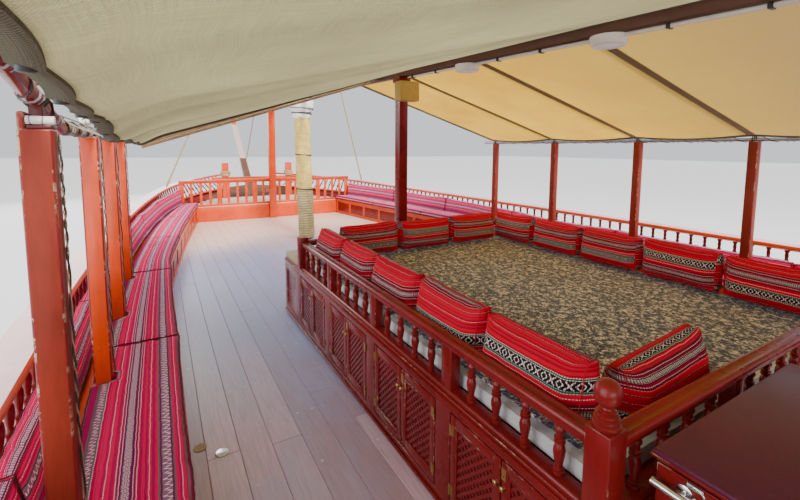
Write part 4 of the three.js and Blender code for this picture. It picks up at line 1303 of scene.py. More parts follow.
class DHOW_OT_decks(bpy.types.Operator):
    """Planked main deck, foredeck and quarterdeck"""

    bl_idname = "dhow.decks"
    bl_label = "Decks"

    def execute(self, context):
        main = planked(-10.3, 6.4, deck_half, DECK, 0.05, 4)
        settle(paint_over(main, deck_wood()), "main_deck_planks", "deck_wood", "main_deck")
        base = []
        for x in hull_stations(40):
            half = section_at(x)[0]
            corners = [(x, half, DECK - 0.004), (lean_to(x, DECK - 0.06), half, DECK - 0.059)]
            base.append(corners + [(px, -y, z) for px, y, z in reversed(corners)])
        covering = painted(loft("covering_board", base))
        settle(smooth(covering), "covering_board", "paint")
        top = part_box("foredeck")[1].z
        fore = planked(FOREDECK_X + 0.04, 6.35, lambda x: half_at(x, top) - 0.13, top, 0.04, 9)
        settle(paint_over(fore, deck_wood()), "foredeck_planks", "deck_wood")
        rings = []
        for x in [FOREDECK_X] + spread(FOREDECK_X + 0.15, 6.6, 14):
            half = max(0.05, half_at(x, DECK + 0.17) - BULWARK_THICK - 0.02)
            rings.append(step_ring(x, half, top - 0.012))
        riser = ease(loft("riser", rings), 0.012)
        settle(painted_sunlit(riser), "foredeck_riser", "deck_wood", "foredeck")
        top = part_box("quarterdeck")[1].z
        aft = planked(-10.4, QUARTER_X - 0.03, lambda x: half_at(x, top) - 0.13, top, 0.04, 14)
        settle(paint_over(aft, deck_wood()), "quarterdeck_planks", "deck_wood")
        rings = []
        for x in spread(-10.42, QUARTER_X, 12):
            # The pane behind each lattice takes the darker paint: painted shadow in the recess
            half = half_at(x, DECK + 0.2) - BULWARK_THICK - 0.02
            rings.append(step_ring(x, half, top - 0.012))
        step = ease(loft("step", rings), 0.012)
        settle(painted(step), "quarterdeck_carcass", "deck_wood", "quarterdeck")
        plate = moved(turn([(0.035, 0.0), (0.035, 0.004), (0.030, 0.006)], 24), at(-2.99, 2.07, DECK))
        settle(paint_over(plate, steel()), "deck_plate", "paint")
        bung = moved(turn([(0.034, 0.0), (0.034, 0.003)], 20), at(-2.89, 2.17, DECK))
        settle(paint_over(bung, pale_wood()), "deck_bung", "bare_wood")
        return {"FINISHED"}


def bulwark_ring(x, side, outside, inside, low, high):
    """A station of the bulwark: heights above the deck, and breadths in from the topsides"""
    half, _, _, lean = section_at(x)
    top = DECK + high + sheer(x + lean * high)
    out = side * max(KEEL_HALF + 0.03, half - outside)
    inn = side * max(KEEL_HALF + 0.005, half - inside)
    xl, xh = x + lean * low, x + lean * (top - DECK)
    return [(xl, out, DECK + low), (xh, out, top), (xh, inn, top), (xl, inn, DECK + low)]


def rail_line(side, rise):
    """The middle of the bulwark, at a height above the deck and the sheer"""
    line = []
    for x in hull_stations(64):
        half, _, _, lean = section_at(x)
        px = x + lean * rise
        breadth = max(KEEL_HALF + 0.102, half - BULWARK_THICK / 2)
        line.append(Vector((px, side * breadth, DECK + rise + sheer(px))))
    return line


def point_on(line, x):
    for a, b in zip(line, line[1:]):
        if a.x <= x <= b.x:
            return a.lerp(b, (x - a.x) / (b.x - a.x))
    return line[0] if x < line[0].x else line[-1]


def along(line, offsets):
    """A moulding swept along a line: its section is pairs of outward and upward offsets"""
    rings = []
    for p in line:
        side = 1 if p.y > 0 else -1
        rings.append([(p.x, p.y + side * out, p.z + up) for out, up in offsets])
    return rings


RAIL_SECTION = (
    (-0.090, -0.012), (-0.080, 0.0), (0.080, 0.0), (0.090, -0.012), (0.090, -0.032), (0.074, -0.044),
    (0.060, -0.050), (-0.060, -0.050), (-0.074, -0.044), (-0.090, -0.032),
)


def turned_baluster(height, radius, sides=12):
    """A turned baluster with two rings and a belly"""
    shape = (
        (0.72, 0.0), (0.72, 0.06), (0.95, 0.075), (0.95, 0.11), (0.6, 0.13), (0.55, 0.19), (0.78, 0.28),
        (1.0, 0.40), (0.92, 0.48), (0.6, 0.56), (0.82, 0.59), (0.82, 0.62), (0.6, 0.65), (0.75, 0.76),
        (0.62, 0.86), (0.95, 0.89), (0.95, 0.93), (0.72, 0.945), (0.72, 1.0),
    )
    return turn([(r * radius, h * height) for r, h in shape], sides)


class DHOW_OT_rails(bpy.types.Operator):
    """Bulwarks, cap rails and their turned balusters"""

    bl_idname = "dhow.rails"
    bl_label = "Rails"

    def execute(self, context):
        for name, side in SIDES:
            rings = [
                bulwark_ring(x, side, 0.0, BULWARK_THICK, -0.02, BULWARK_RISE) for x in hull_stations(60)
            ]
            wall = paint_over(ease(loft("bulwark", rings), 0.008), planking(), paint_edge())
            settle(wall, f"bulwark_planks_{name}", "oiled_wood", f"bulwark_{name}")
            lining = [bulwark_ring(x, side, BULWARK_THICK, BULWARK_THICK + 0.012, 0.01, BULWARK_RISE - 0.03)
                      for x in hull_stations(60)[1:-3]]
            board = painted(ease(loft("lining", lining), 0.004))
            settle(board, f"bulwark_lining_{name}", "paint")
            line = rail_line(side, RAIL_RISE)
            ends = [line[0] + (line[0] - line[1]).normalized() * 0.12]
            cap = loft("cap", along(ends + line[:-1], RAIL_SECTION))
            sill_line = rail_line(side, BULWARK_RISE)
            sill = loft(
                "sill",
                along(sill_line[1:-2], ((-0.065, 0.0), (-0.065, 0.022), (0.065, 0.022), (0.065, 0.0)))
            )
            rail = join([cap, ease(sill, 0.006)])
            paint_over(smooth(rail, 40), sunlit_paint(), sunlit_paint_edge(), rail_top_reflection_paint())
            # Top faces of the cap rail take the pale pink: painted sky reflection
            for face in rail.data.polygons:
                if face.normal.z > 0.9 and face.center.z > DECK + 0.6:
                    face.material_index = 2
            tall = RAIL_RISE - BULWARK_RISE - 0.06
            places = []
            x = sill_line[0].x + 0.16
            while x < sill_line[-1].x - 0.3:
                low, high = point_on(sill_line, x), point_on(line, x)
                tilt = (high.y - low.y) / (high.z - low.z)
                slant = Matrix.Identity(4)
                slant[1][2] = tilt
                places.append(Matrix.Translation((x, low.y + tilt * 0.02, low.z + 0.02)) @ slant)
                x += sizes().baluster_pitch
            posts = copies(turned_baluster(tall, sizes().baluster_radius, 10), places)
            paint_over(posts, paint())
            settle(rail, f"cap_rail_moulding_{name}", "paint", f"cap_rail_{name}")
            settle(posts, f"rail_balusters_{name}", "paint")
        return {"FINISHED"}


STERN_X = -10.5
STERN_RAKE = 0.35


def transom_x(z):
    """The transom's outer face at a height"""
    return STERN_X - STERN_RAKE * (z - DECK) - 0.080


class DHOW_OT_bow(bpy.types.Operator):
    """Fore rail with its flat balusters, the mooring bitts and the stern board"""

    bl_idname = "dhow.bow"
    bl_label = "Bow and stern"

    def execute(self, context):
        low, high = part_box("fore_rail")
        x = (low.x + high.x) / 2
        half = high.y
        bars = [
            block(x - 0.045, x + 0.045, -half, half, high.z - 0.045, high.z),
            block(x - 0.030, x + 0.030, -half, half, high.z - 0.075, high.z - 0.046),
            block(x - 0.026, x + 0.026, -half, half, low.z, low.z + 0.045),
        ]
        for i in range(21):
            y = -half + 0.05 + i * (2 * half - 0.1) / 20
            wide = 0.05 if i % 4 == 0 else 0.026
            bars.append(block(x - 0.016, x + 0.016, y - wide, y + wide, low.z + 0.04, high.z - 0.07))
        rail = painted_sunlit(timbers(bars))
        settle(ease(rail, sizes().edge), "fore_rail_slats", "paint", "fore_rail")
        bitts = from_node("mooring_bitts", 0.014, 3, (sunlit_paint(), sunlit_paint_edge()))
        settle(bitts, "mooring_bitts_squared", "paint", "mooring_bitts")
        lines = []
        for y in (-0.82, 0.82):
            for k in range(4):
                wide = 0.104 * (1.12 if k % 2 else 1)
                ring = circle((6.35, y, DECK + 0.92 + k * 0.034), (wide, 0, 0), (0, 0.104, 0), 20)
                lines.append(tube("hitch", ring, 0.017, 8))
        settle(paint_over(join(lines), rope_lay()), "mooring_hitches", "rope")
        transom = from_node("transom", 0.012, 2, (paint(), paint_edge()))
        settle(transom, "transom_board", "paint", "transom")
        low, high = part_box("transom")
        trims = []
        for z0, z1, half, proud in (
            (0.10, 0.16, 1.99, 0.022), (0.60, 0.66, 1.96, 0.022), (1.02, 1.10, 1.94, 0.035)
        ):
            za, zb = low.z + z0, low.z + z1
            xa, xb = transom_x(za) - 0.0015, transom_x(zb) - 0.0015
            ring = [[(xa, y, za), (xa - proud, y, za + 0.008), (xb - proud, y, zb - 0.008), (xb, y, zb)]
                    for y in spread(-half, half, 9)]
            trims.append(loft("moulding", ring))
        for k in range(9):
            y = -1.76 + k * 0.44
            z = low.z + 0.38
            boss = turn(
                [(0.13, 0.0), (0.13, 0.012), (0.10, 0.022), (0.10, 0.016), (0.055, 0.016), (0.03, 0.04)], 24
            )
            lean = Matrix.Rotation(-math.pi / 2 - math.atan(STERN_RAKE), 4, "Y")
            trims.append(moved(boss, at(transom_x(z), y, z) @ lean))
        trim = painted_sunlit(join(trims))
        settle(smooth(face_out(trim)), "transom_mouldings", "paint")
        return {"FINISHED"}


SUNLIT_POSTS = -3.2  # the port posts forward of this are in the brighter paint: painted sunlight on them


def post_head(name, x):
    """Height of a side post's head: past the climb's end the posts are longer"""
    return EAVES[name] + (climb(name, x) if x <= AFT_CLIMB[1] else 0)


class DHOW_OT_posts(bpy.types.Operator):
    """Squared posts, the ridge beam with its collar, and the awning's poles and pipes"""

    bl_idname = "dhow.posts"
    bl_label = "Posts and ridge"

    def execute(self, context):
        for node in ("fore_post", "mid_post", "aft_post", "ridge_beam"):
            finish = (paint(), paint_edge())
            # The fore post stands in the sun: its orange paint is painted sunlight
            if node == "fore_post":
                finish = (sunlit_paint(), sunlit_paint_edge())
            if node == "ridge_beam":
                finish = (ridge_paint(),)
            settle(from_node(node, 0.008, 2, finish), f"{node}_timber", "paint", node)
        for name, side in SIDES:
            half = POST_SIZE / 2
            y = side * POST_Y
            cheek = side * (POST_Y + half - CHEEK_THICK)
            outer_face = side * (POST_Y + half - 0.001)
            boxes, chocks, stubs = [], [], []
            for x in POSTS[name]:
                head = post_head(name, x)
                boxes.append(block(x - half, x + half, y - half, y + half, SEAT_LOW + 0.002, head))
                boxes.append(block(x - half + 0.003, x + half - 0.003, cheek, outer_face, head - 0.010,
                                   head + CHEEK_RISE))
                if pipe_z(name, x) > head + PIPE_RADIUS:
                    chocks.append(
                        block(x - 0.020, x + 0.025, y - 0.018, y + 0.014, head - 0.008, pipe_z(name, x))
                    )
                    chocks.append(
                        block(x - half, x + half, y - half, y + 0.017, head - 0.001, head + 0.009)
                    )
                    stubs.append(tube("stub", [(x - 0.033, side * POST_Y + reach, head + 0.022)
                                               for reach in (-0.046, 0.017)], 0.012, 10))
            # Posts in shade take the darker post paint, the sunlit port posts the orange one: painted shade
            # and painted sunlight on one paint
            shaded = [box for box in boxes if side < 0 or box[0][0] < SUNLIT_POSTS]
            posts = [ease(paint_over(timbers(shaded), shaded_post_paint(), paint_edge()), 0.007, 3)]
            if side > 0:
                sunlit = timbers([box for box in boxes if box not in shaded])
                posts.append(ease(paint_over(sunlit, sunlit_paint(), paint_edge()), 0.007, 3))
            posts = join(posts)
            settle(posts, f"side_posts_{name}", "paint", f"awning_posts_{name}")
            if chocks:
                # The chock and pad under the pipe take the darker paint: partly their own dark colour,
                # partly painted shadow in the gap
                settle(paint_over(ease(timbers(chocks), 0.003), dark_shadow_paint()), "pipe_chock", "paint")
                settle(paint_over(join(stubs), pole_tape()), "taped_stub", "white_plastic")
            bends = sorted(AFT_CLIMB[:2]) if side > 0 else []
            stops = [POSTS[name][0] - 0.3, *bends, POSTS[name][-1] + 0.26]
            lengths = []
            for a, b in zip(stops, stops[1:]):
                line = [(x, y, pipe_z(name, x)) for x in (a, b)]
                lengths.append(paint_over(tube("pipe", line, PIPE_RADIUS, 16), paint()))
            if side > 0:
                paint_over(lengths[-1], bare_wood())
            pipe = lengths[0] if side > 0 else paint_over(lengths[0], galvanised())
            settle(join([pipe, *lengths[1:]]), f"eaves_pipe_{name}", "paint")
            r = 0.019
            inner = side * 0.069
            rise = PIPE_RADIUS + r + 0.008
            poles, tapes, ties = [], [], []
            for x in POSTS[name]:
                z = pipe_z(name, x)
                start = Vector((x, inner, ridge_z(x) + RIDGE_DEEP - 0.022))
                end = Vector((x, side * (POST_Y + 0.03), z + rise))
                poles.append(tube("pole", [start, end], r, 10))
                down = (end - start).normalized()
                tapes.append(tube("tape", [end - down * 0.22, end + down * 0.001], r + 0.002, 10))
                for shift in (-0.016, 0.0, 0.016):
                    ring = circle((x + shift, y, z + 0.0235), (0, 0.029, 0), (0, 0, 0.051), 16)
                    ties.append(tube("tie", ring, 0.004, 6))
            ends = (POSTS[name][0] - 0.06, POSTS[name][-1] + 0.06)
            line = [(x, inner, ridge_z(x) + RIDGE_DEEP - 0.022) for x in ends]
            poles.append(tube("ledger", line, 0.021, 10))
            poles = paint_over(join(poles), bare_wood())
            settle(poles, f"awning_poles_{name}", "bare_wood", f"awning_frame_{name}")
            settle(paint_over(join(tapes), pole_tape()), f"pole_tape_{name}", "white_plastic")
            coil = []
            for k in range(150):
                a = k * 0.9
                x = POSTS[name][1] + k * 0.034
                coil.append((x, y + 0.027 * math.cos(a), pipe_z(name, x) + 0.027 * math.sin(a)))
            ties.append(tube("coil", coil, 0.0035, 6))
            settle(paint_over(join(ties), tarred_line()), f"pole_lashings_{name}", "rope")
            if side < 0:
                continue
            strands = {0: [], 1: []}
            inboard = POST_Y - half - 0.0060
            for n, x in enumerate(POSTS[name]):
                head = post_head(name, x)
                for turn_, made in strands.items():
                    line = []
                    for h in spread(SEAT_HIGH + 0.012, head - 0.012, 90):
                        a = 60 * h + 3 * math.sin(11 * h + n) + math.pi * turn_
                        drift = 0.018 + 0.005 * math.sin(7 * h + n)
                        line.append((x + drift + 0.0026 * math.cos(a), inboard - 0.0026 * math.sin(a), h))
                    made.append(tube("strand", line, 0.0030 if turn_ == 0 else 0.0018, 5))
            settle(paint_over(join(strands[0]), tarred_line()), f"post_cords_{name}", "rope")
            settle(paint_over(join(strands[1]), cord_pale()), f"post_cords_pale_{name}", "rope")
        under = []
        for dx, drop in ((0.012, 0.026), (0.0, 0.058)):
            x = POSTS["port"][-1] + dx
            line = [cloth_point("port", POSTS["port"][-1] - 0.04, t, drop) for t in (0.03, 0.985)]
            under.append(tube("pole", [(x, y, z) for _, y, z in line], 0.015, 10))
        settle(paint_over(join(under), pale_pole()), "fore_edge_poles", "bare_wood")
        return {"FINISHED"}


class DHOW_OT_lights(bpy.types.Operator):
    """White trunking with clips and round lamps along the ridge, and the boxed lamp on the mid post"""

    bl_idname = "dhow.lights"
    bl_label = "Lights"

    def execute(self, context):
        low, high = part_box("ridge_lights")
        lamps = []
        for x in (-6.2, -3.74, -2.45):
            lamp = turn([
                (0.104, 0.0), (0.104, -0.012), (0.100, -0.020), (0.098, -0.045), (0.090, -0.054),
                (0.082, -0.056),
                (0.079, -0.051), (0.04, -0.0525), (0.004, -0.053),
            ], 40)
            lamps.append(face_out(moved(lamp, at(x, 0, ridge_z(x) - 0.008))))
        line = [(x, 0.0, ridge_z(x) - 0.0135) for x in (low.x, high.x)]
        lamps.append(tube("trunking", line, 0.0125, 12))
        settle(
            paint_over(join(lamps), white_plastic()), "round_lamps_and_trunking", "white_plastic",
            "ridge_lights"
        )
        clips = []
        for x in spread(low.x + 0.2, high.x - 0.1, 15):
            z = ridge_z(x) - 0.0135
            clips.append(block(x - 0.009, x + 0.009, -0.022, 0.022, z - 0.016, z + 0.012))
        clips = paint_over(ease(timbers(clips), 0.003), black_plastic())
        settle(clips, "trunking_clips", "white_plastic")
        x = -1.34
        z0, z1 = ridge_z(x) - 0.26, ridge_z(x) - 0.066
        shade_box = timbers([block(x - 0.178, x - 0.05, -0.113, 0.113, z0 - 0.003, z1 + 0.003)])
        only(shade_box)
        bpy.ops.object.mode_set(mode="EDIT")
        bpy.ops.mesh.select_all(action="DESELECT")
        bpy.ops.object.mode_set(mode="OBJECT")
        for face in shade_box.data.polygons:
            face.select = face.normal.x < -0.9
        bpy.ops.object.mode_set(mode="EDIT")
        bpy.ops.mesh.inset(thickness=0.016)
        bpy.ops.transform.translate(value=(0.001, 0, 0))
        bpy.ops.object.mode_set(mode="OBJECT")
        ease(shade_box, 0.005)
        settle(paint_over(shade_box, palm_matting()), "woven_lamp_shade", "matting")
        return {"FINISHED"}


# Heights on the mast's matting above the deck
MATTING_JOINT = 0.90
MATTING_TIE = 1.52
# Pairs of height above the deck and radius of the tape wound over the matting's head and the collar
COLLAR_TAPE = (
    (2.185, 0.148), (2.20, 0.156), (2.235, 0.160), (2.262, 0.166), (2.275, 0.163), (2.30, 0.172),
    (2.325, 0.186),
    (2.345, 0.198), (2.36, 0.203), (2.38, 0.214), (2.42, 0.221), (2.455, 0.217), (2.49, 0.223),
    (2.53, 0.216),
    (2.545, 0.206),
)


def mast_at(h):
    """The mast's middle at a height above the deck"""
    return Vector((MAST_FOOT + MAST_LEAN * h, 0, DECK + h))


class DHOW_OT_mast(bpy.types.Operator):
    """Mast with its bands and head block, and the matting lashed round its foot"""

    bl_idname = "dhow.mast"
    bl_label = "Mast"

    def execute(self, context):
        lean = Matrix.Identity(4)
        lean[0][2] = MAST_LEAN
        foot = Matrix.Translation((MAST_FOOT, 0, DECK))
        stops = (
            (0.104, 0.013), (0.104, 0.4), (0.101, 1.6), (0.094, 3.4), (0.083, 5.4), (0.068, 7.2),
            (0.060, 7.69)
        )
        pole = moved(turn(stops, 28), foot @ lean)
        bands = []
        for h, r in ((5.6, 0.084), (5.85, 0.083), (6.32, 0.079), (7.3, 0.069)):
            band = turn([(r, h - 0.03), (r + 0.006, h - 0.026), (r + 0.006, h + 0.026), (r, h + 0.03)], 28)
            bands.append(moved(band, foot @ lean))
        head_x = MAST_FOOT + MAST_LEAN * 7.54
        block_ = timbers([block(head_x - 0.06, head_x + 0.06, -0.09, 0.09, DECK + 7.40, DECK + 7.68)])
        ease(block_, 0.02, 3)
        mast = join([paint_over(pole, mast_wood()), paint_over(block_, mast_wood())])
        settle(mast, "mast_pole", "oiled_wood", "mast")
        settle(paint_over(join(bands), iron()), "mast_bands", "iron")
        rng = random.Random(5)

        def sleeve(name, low, high, count, radius):
            """Matting wound round the mast between two heights, with a slow bulge and lumps"""
            rings = []
            for h in spread(low, high, count):
                bulge = 0.008 * math.sin(math.pi * ((h % 0.47) / 0.47)) - 0.005
                ring = []
                for j in range(32):
                    a = j * math.pi / 16
                    lump = 0.004 * math.sin(3 * a + int(h / 0.47) * 1.7) + 0.0015 * rng.uniform(-1, 1)
                    r = radius + bulge + lump
                    ring.append((MAST_FOOT + MAST_LEAN * h + r * math.cos(a), r * math.sin(a), DECK + h))
                rings.append(ring)
            return smooth(loft(name, rings))

        upper = paint_over(sleeve("sleeve", MATTING_JOINT, 2.38, 70, 0.139), palm_matting())
        settle(upper, "mast_matting", "matting", "mast_padding")
        lower = paint_over(sleeve("sleeve", 0.02, MATTING_JOINT + 0.02, 30, 0.141), olive_matting())
        settle(lower, "mast_foot_matting", "matting")
        rings = []
        for h, radius in COLLAR_TAPE:
            ring = []
            for j in range(32):
                a = j * math.pi / 16
                r = radius + 0.006 * math.sin(5 * a + 40 * h) + 0.004 * rng.uniform(-1, 1)
                ring.append((MAST_FOOT + MAST_LEAN * h + r * math.cos(a), r * math.sin(a), DECK + h))
            rings.append(ring)
        tape = paint_over(smooth(loft("tape", rings), 60), white_plastic())
        settle(tape, "mast_collar_tape", "white_plastic")
        ties = []
        for h, turns, r in (
            (MATTING_JOINT, 2, 0.146), (MATTING_TIE, 2, 0.142), (2.27, 3, 0.176), (2.36, 2, 0.212)
        ):
            for k in range(turns):
                z = h + 0.014 * k
                across, up = (r, 0, 0.012 * math.sin(k)), (0, r, 0.012 * math.cos(k))
                ties.append(tube("tie", circle(mast_at(z), across, up, 28), 0.0060, 6))
        settle(paint_over(join(ties), tarred_line()), "matting_ties", "rope")
        return {"FINISHED"}


# The cloth's edges: out from the centre line, and up from the ridge beam's foot or from the deck;
# the outer edge follows a share of the pipe's climb
CLOTH_INNER = (0.047, 0.067)
CLOTH_OUTER = {"port": (POST_Y - 0.116, 1.728, 0.36), "starboard": (POST_Y - 0.040, 1.796, 0.0)}
CLOTH_SAG = 0.034
EYELET_PITCH = 0.24
EYELET_FROM = -6.92
HEM_CHANNEL = 0.045
HEM_WIDTH = 0.046
VALANCE = 0.046  # how far the port cloth's fore edge is turned down
# Shares of the way from the ridge beam to the edge, closer together at the hem
CLOTH_STOPS = spread(0, 0.88, 34) + spread(0.89, 1, 12)
# Bands sewn under the pole lines: place along the boat, width, and whether the band is olive
CLOTH_BANDS = {
    "port": ((-7.0, 0.065, True), (-5.93, 0.065, True), (-4.85, 0.065, True), (-2.7, 0.090, True),
             (-1.8, 0.036, False)),
    "starboard": tuple((x, 0.060, False) for x in POSTS["starboard"]),
}


def cloth_sag(name, x):
    """How far one side's cloth hangs at a place between two of its poles"""
    marks = (-7.75,) + POSTS[name]
    for a, b in zip(marks, marks[1:]):
        if a <= x <= b:
            return CLOTH_SAG * math.sin(math.pi * (x - a) / (b - a))
    return 0.0


def cloth_point(name, x, t, drop=0.0):
    """A point on one side's cloth: t runs from the ridge beam to the edge that is laced to the pipe"""
    (inner, rise), (outer, eaves, share) = CLOTH_INNER, CLOTH_OUTER[name]
    scallop = 0.012 * abs(math.sin(math.pi * (x - EYELET_FROM) / EYELET_PITCH))
    y = inner + (outer - scallop - inner) * t
    ridge = ridge_z(x) + rise
    edge = DECK + eaves + share * climb(name, x)
    z = ridge + (edge - ridge) * t - cloth_sag(name, x) * math.sin(2 * math.pi * t / 3) - drop
    if name == "port":
        within = (1 - t) * (outer - inner) - HEM_CHANNEL
        z -= 0.030 * math.exp(-(within / (0.045 if within < 0 else 0.10)) ** 2)
    return x, dict(SIDES)[name] * y, z


def cloth_strip(name, xs, ts, across_x):
    """A sewn strip, as thick as cloth over cloth, along the pole line or along the edge"""
    rings = []
    for a in (ts if across_x else xs):
        line = [(x, a) for x in xs] if across_x else [(a, t) for t in ts]
        rings.append([cloth_point(name, x, t, 0.0105) for x, t in line]
                     + [cloth_point(name, x, t, -0.0025) for x, t in reversed(line)])
    return loft("strip", rings)


class DHOW_OT_awning(bpy.types.Operator):
    """Two cloths under the poles, with sewn bands, scalloped hems, eyelets and lacing"""

    bl_idname = "dhow.awning"
    bl_label = "Awning"

    def execute(self, context):
        for name, side in SIDES:
            low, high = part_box(f"awning_{name}")
            aft, fore = low.x + 0.003, high.x - 0.003
            stops = spread(aft, fore, 260)
            rings = []
            for x in stops:
                ring = []
                for t in CLOTH_STOPS:
                    ripple = 0.003 * math.sin(9 * x + 5 * t) * math.sin(math.pi * t)
                    ring.append(cloth_point(name, x, t, 0.004 + ripple))
                rings.append(ring if side < 0 else ring[::-1])
            cloth = loft("cloth", rings, closed=False)
            put_modifier(cloth, "SOLIDIFY", thickness=0.0025, offset=1)
            paint_over(smooth(cloth, 60), awning_cloth() if side > 0 else warm_awning_cloth())
            settle(cloth, f"awning_cloth_{name}", "canvas", f"awning_{name}")
            width = (Vector(cloth_point(name, aft, 0)) - Vector(cloth_point(name, aft, 1))).length
            share = HEM_WIDTH / width
            olive = [cloth_strip(name, stops, spread(1 - share, 1, 6), False),
                     cloth_strip(name, stops, spread(0, 0.5 * share, 3), False)]
            tan = []
            # The starboard bands take the cloth with painted sunlight
            band = warm_awning_cloth() if side > 0 else band_cloth()
            fore_band = 0.11 if side > 0 else 0.06
            ends = ((aft + 0.03, 0.06, True), (fore - fore_band / 2, fore_band, True))
            for x, wide, is_olive in CLOTH_BANDS[name] + ends:
                strip = cloth_strip(name, spread(x - wide / 2, x + wide / 2, 3), CLOTH_STOPS, True)
                (olive if is_olive else tan).append(strip)
            if side > 0:
                rings = []
                a, b = fore - 0.002, fore + 0.003
                for t in CLOTH_STOPS:
                    _, y, z = cloth_point(name, fore, t)
                    rings.append([(a, y, z), (b, y, z), (b, y, z - VALANCE), (a, y, z - VALANCE)])
                olive.append(loft("valance", rings))
            hem = settle(paint_over(smooth(join(olive)), hem_cloth()), f"awning_hem_{name}", "canvas")
            if tan:
                bands = paint_over(smooth(join(tan)), band)
                settle(bands, f"awning_bands_{name}", "canvas")
            eye = turn(
                [(0.010, -0.0125), (0.0125, -0.011), (0.0125, 0.0), (0.0045, 0.0), (0.0045, -0.0115)], 16
            )
            # A white disc in each eyelet's hole: painted daylight seen through it
            painted_sky_disc = turn([(0.0048, -0.0120), (0.0048, -0.0100)], 12)
            eye = join([paint_over(face_out(eye), iron()), paint_over(painted_sky_disc, white_plastic())])
            spots, lacing = [], []
            for k in range(int((fore - EYELET_FROM) / EYELET_PITCH) + 1):
                x = EYELET_FROM + k * EYELET_PITCH
                px, py, pz = cloth_point(name, x, 1 - 0.023 / width, 0.0025)
                spots.append((px, py, pz))
                for shift in (-0.010, 0.010):
                    line = [(px + 0.5 * shift, py, pz - 0.002)]
                    for a in spread(-0.35 * math.pi, 1.05 * math.pi, 8):
                        along = (
                            side * (POST_Y + 0.0275 * math.cos(a)), pipe_z(name, px) - 0.0275 * math.sin(a)
                        )
                        line.append((px + 2.4 * shift, *along))
                    lacing.append(tube("lacing", line, 0.0030, 6))
            settle(copies(eye, spots), f"awning_eyelets_{name}", "canvas")
            settle(paint_over(join(lacing), cord_grey()), f"awning_lacing_{name}", "rope")
        return {"FINISHED"}


def seat_edge(x):
    """The inner edge of the side seats, which narrow towards the bow"""
    return 2.23 if x < -0.3 else 2.23 - 0.64 * ((x + 0.3) / 5.05) ** 1.25


BENCH_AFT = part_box("bench_port")[0].x
BENCH_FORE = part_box("bench_port")[1].x
BENCH_TOP = DECK + 0.36
BACK_RISE = 0.698
BACK_DROP = 0.07
BACK_DROP_FROM = 0.7
BACK_DROP_TO = -1.0


def back_top(x):
    """Top of the back cushions: up under the cap rail at the bow, lower further aft"""
    share = (BACK_DROP_FROM - x) / (BACK_DROP_FROM - BACK_DROP_TO)
    return DECK + BACK_RISE + sheer(x) - BACK_DROP * min(1, max(0, share))


SEAT_PLACES = np.linspace(BENCH_AFT, BENCH_FORE, 90)
BULWARK_INSIDE = np.array([half_at(x, SEAT_LOW) - BULWARK_THICK for x in SEAT_PLACES])
BULWARK_INSIDE_HIGH = np.array([half_at(x, back_top(x)) - BULWARK_THICK for x in SEAT_PLACES])
SEAT_OUTER = BULWARK_INSIDE - 0.178
BACK_OUTER = np.minimum(BULWARK_INSIDE, BULWARK_INSIDE_HIGH) - 0.014
BACK_TOPS = np.array([back_top(x) for x in SEAT_PLACES])


def soft_block(length_, depth, height, cell):
    """A closed block of small squares, with a map in metres that runs round its long faces"""
    counts = [max(2, round(size / cell)) for size in (length_, depth, height)]
    nx, ny, nz = counts
    index, points, faces, maps = {}, [], [], []

    def corner(i, j, k):
        key = (i, j, k)
        if key not in index:
            index[key] = len(points)
            points.append((length_ * (i / nx - 0.5), depth * (j / ny - 0.5), height * k / nz))
        return index[key]

    def patch(spots, uv):
        faces.append([corner(*spot) for spot in spots])
        maps.extend(uv(points[corner(*spot)]) for spot in spots)

    for i in range(nx):
        for k in range(nz):
            patch([(i, 0, k), (i + 1, 0, k), (i + 1, 0, k + 1), (i, 0, k + 1)], lambda p: (p[0], p[2]))
            patch([(i + 1, ny, k), (i, ny, k), (i, ny, k + 1), (i + 1, ny, k + 1)],
                  lambda p: (p[0], 2 * height + depth - p[2]))
        for j in range(ny):
            patch([(i, j, nz), (i + 1, j, nz), (i + 1, j + 1, nz), (i, j + 1, nz)],
                  lambda p: (p[0], height + depth / 2 + p[1]))
            patch(
                [(i + 1, j, 0), (i, j, 0), (i, j + 1, 0), (i + 1, j + 1, 0)],
                lambda p: (p[0], -depth / 2 - p[1])
            )
    for j in range(ny):
        for k in range(nz):
            patch([(0, j + 1, k), (0, j, k), (0, j, k + 1), (0, j + 1, k + 1)], lambda p: (p[1], p[2]))
            patch([(nx, j, k), (nx, j + 1, k), (nx, j + 1, k + 1), (nx, j, k + 1)], lambda p: (p[1], p[2]))
    obj = mesh_piece("block", points, faces)
    layer = obj.data.uv_layers.new(name="cloth")
    layer.data.foreach_set("uv", np.array(maps, dtype=np.float32).ravel())
    seams = []
    for j, k in ((0, 0), (ny, 0), (0, nz), (ny, nz)):
        seams.append([index[(i, j, k)] for i in range(nx + 1)])
    for i in (0, nx):
        loop = [(i, j, 0) for j in range(ny)] + [(i, ny, k) for k in range(nz)]
        loop += [(i, j, nz) for j in range(ny, 0, -1)] + [(i, 0, k) for k in range(nz, -1, -1)]
        seams.append([index[key] for key in loop])
    return obj, seams


def points_of(obj):
    flat = np.empty(len(obj.data.vertices) * 3, dtype=np.float32)
    obj.data.vertices.foreach_get("co", flat)
    return flat.reshape(-1, 3)


def set_points(obj, places):
    obj.data.vertices.foreach_set("co", np.asarray(places, dtype=np.float32).ravel())
    obj.data.update()


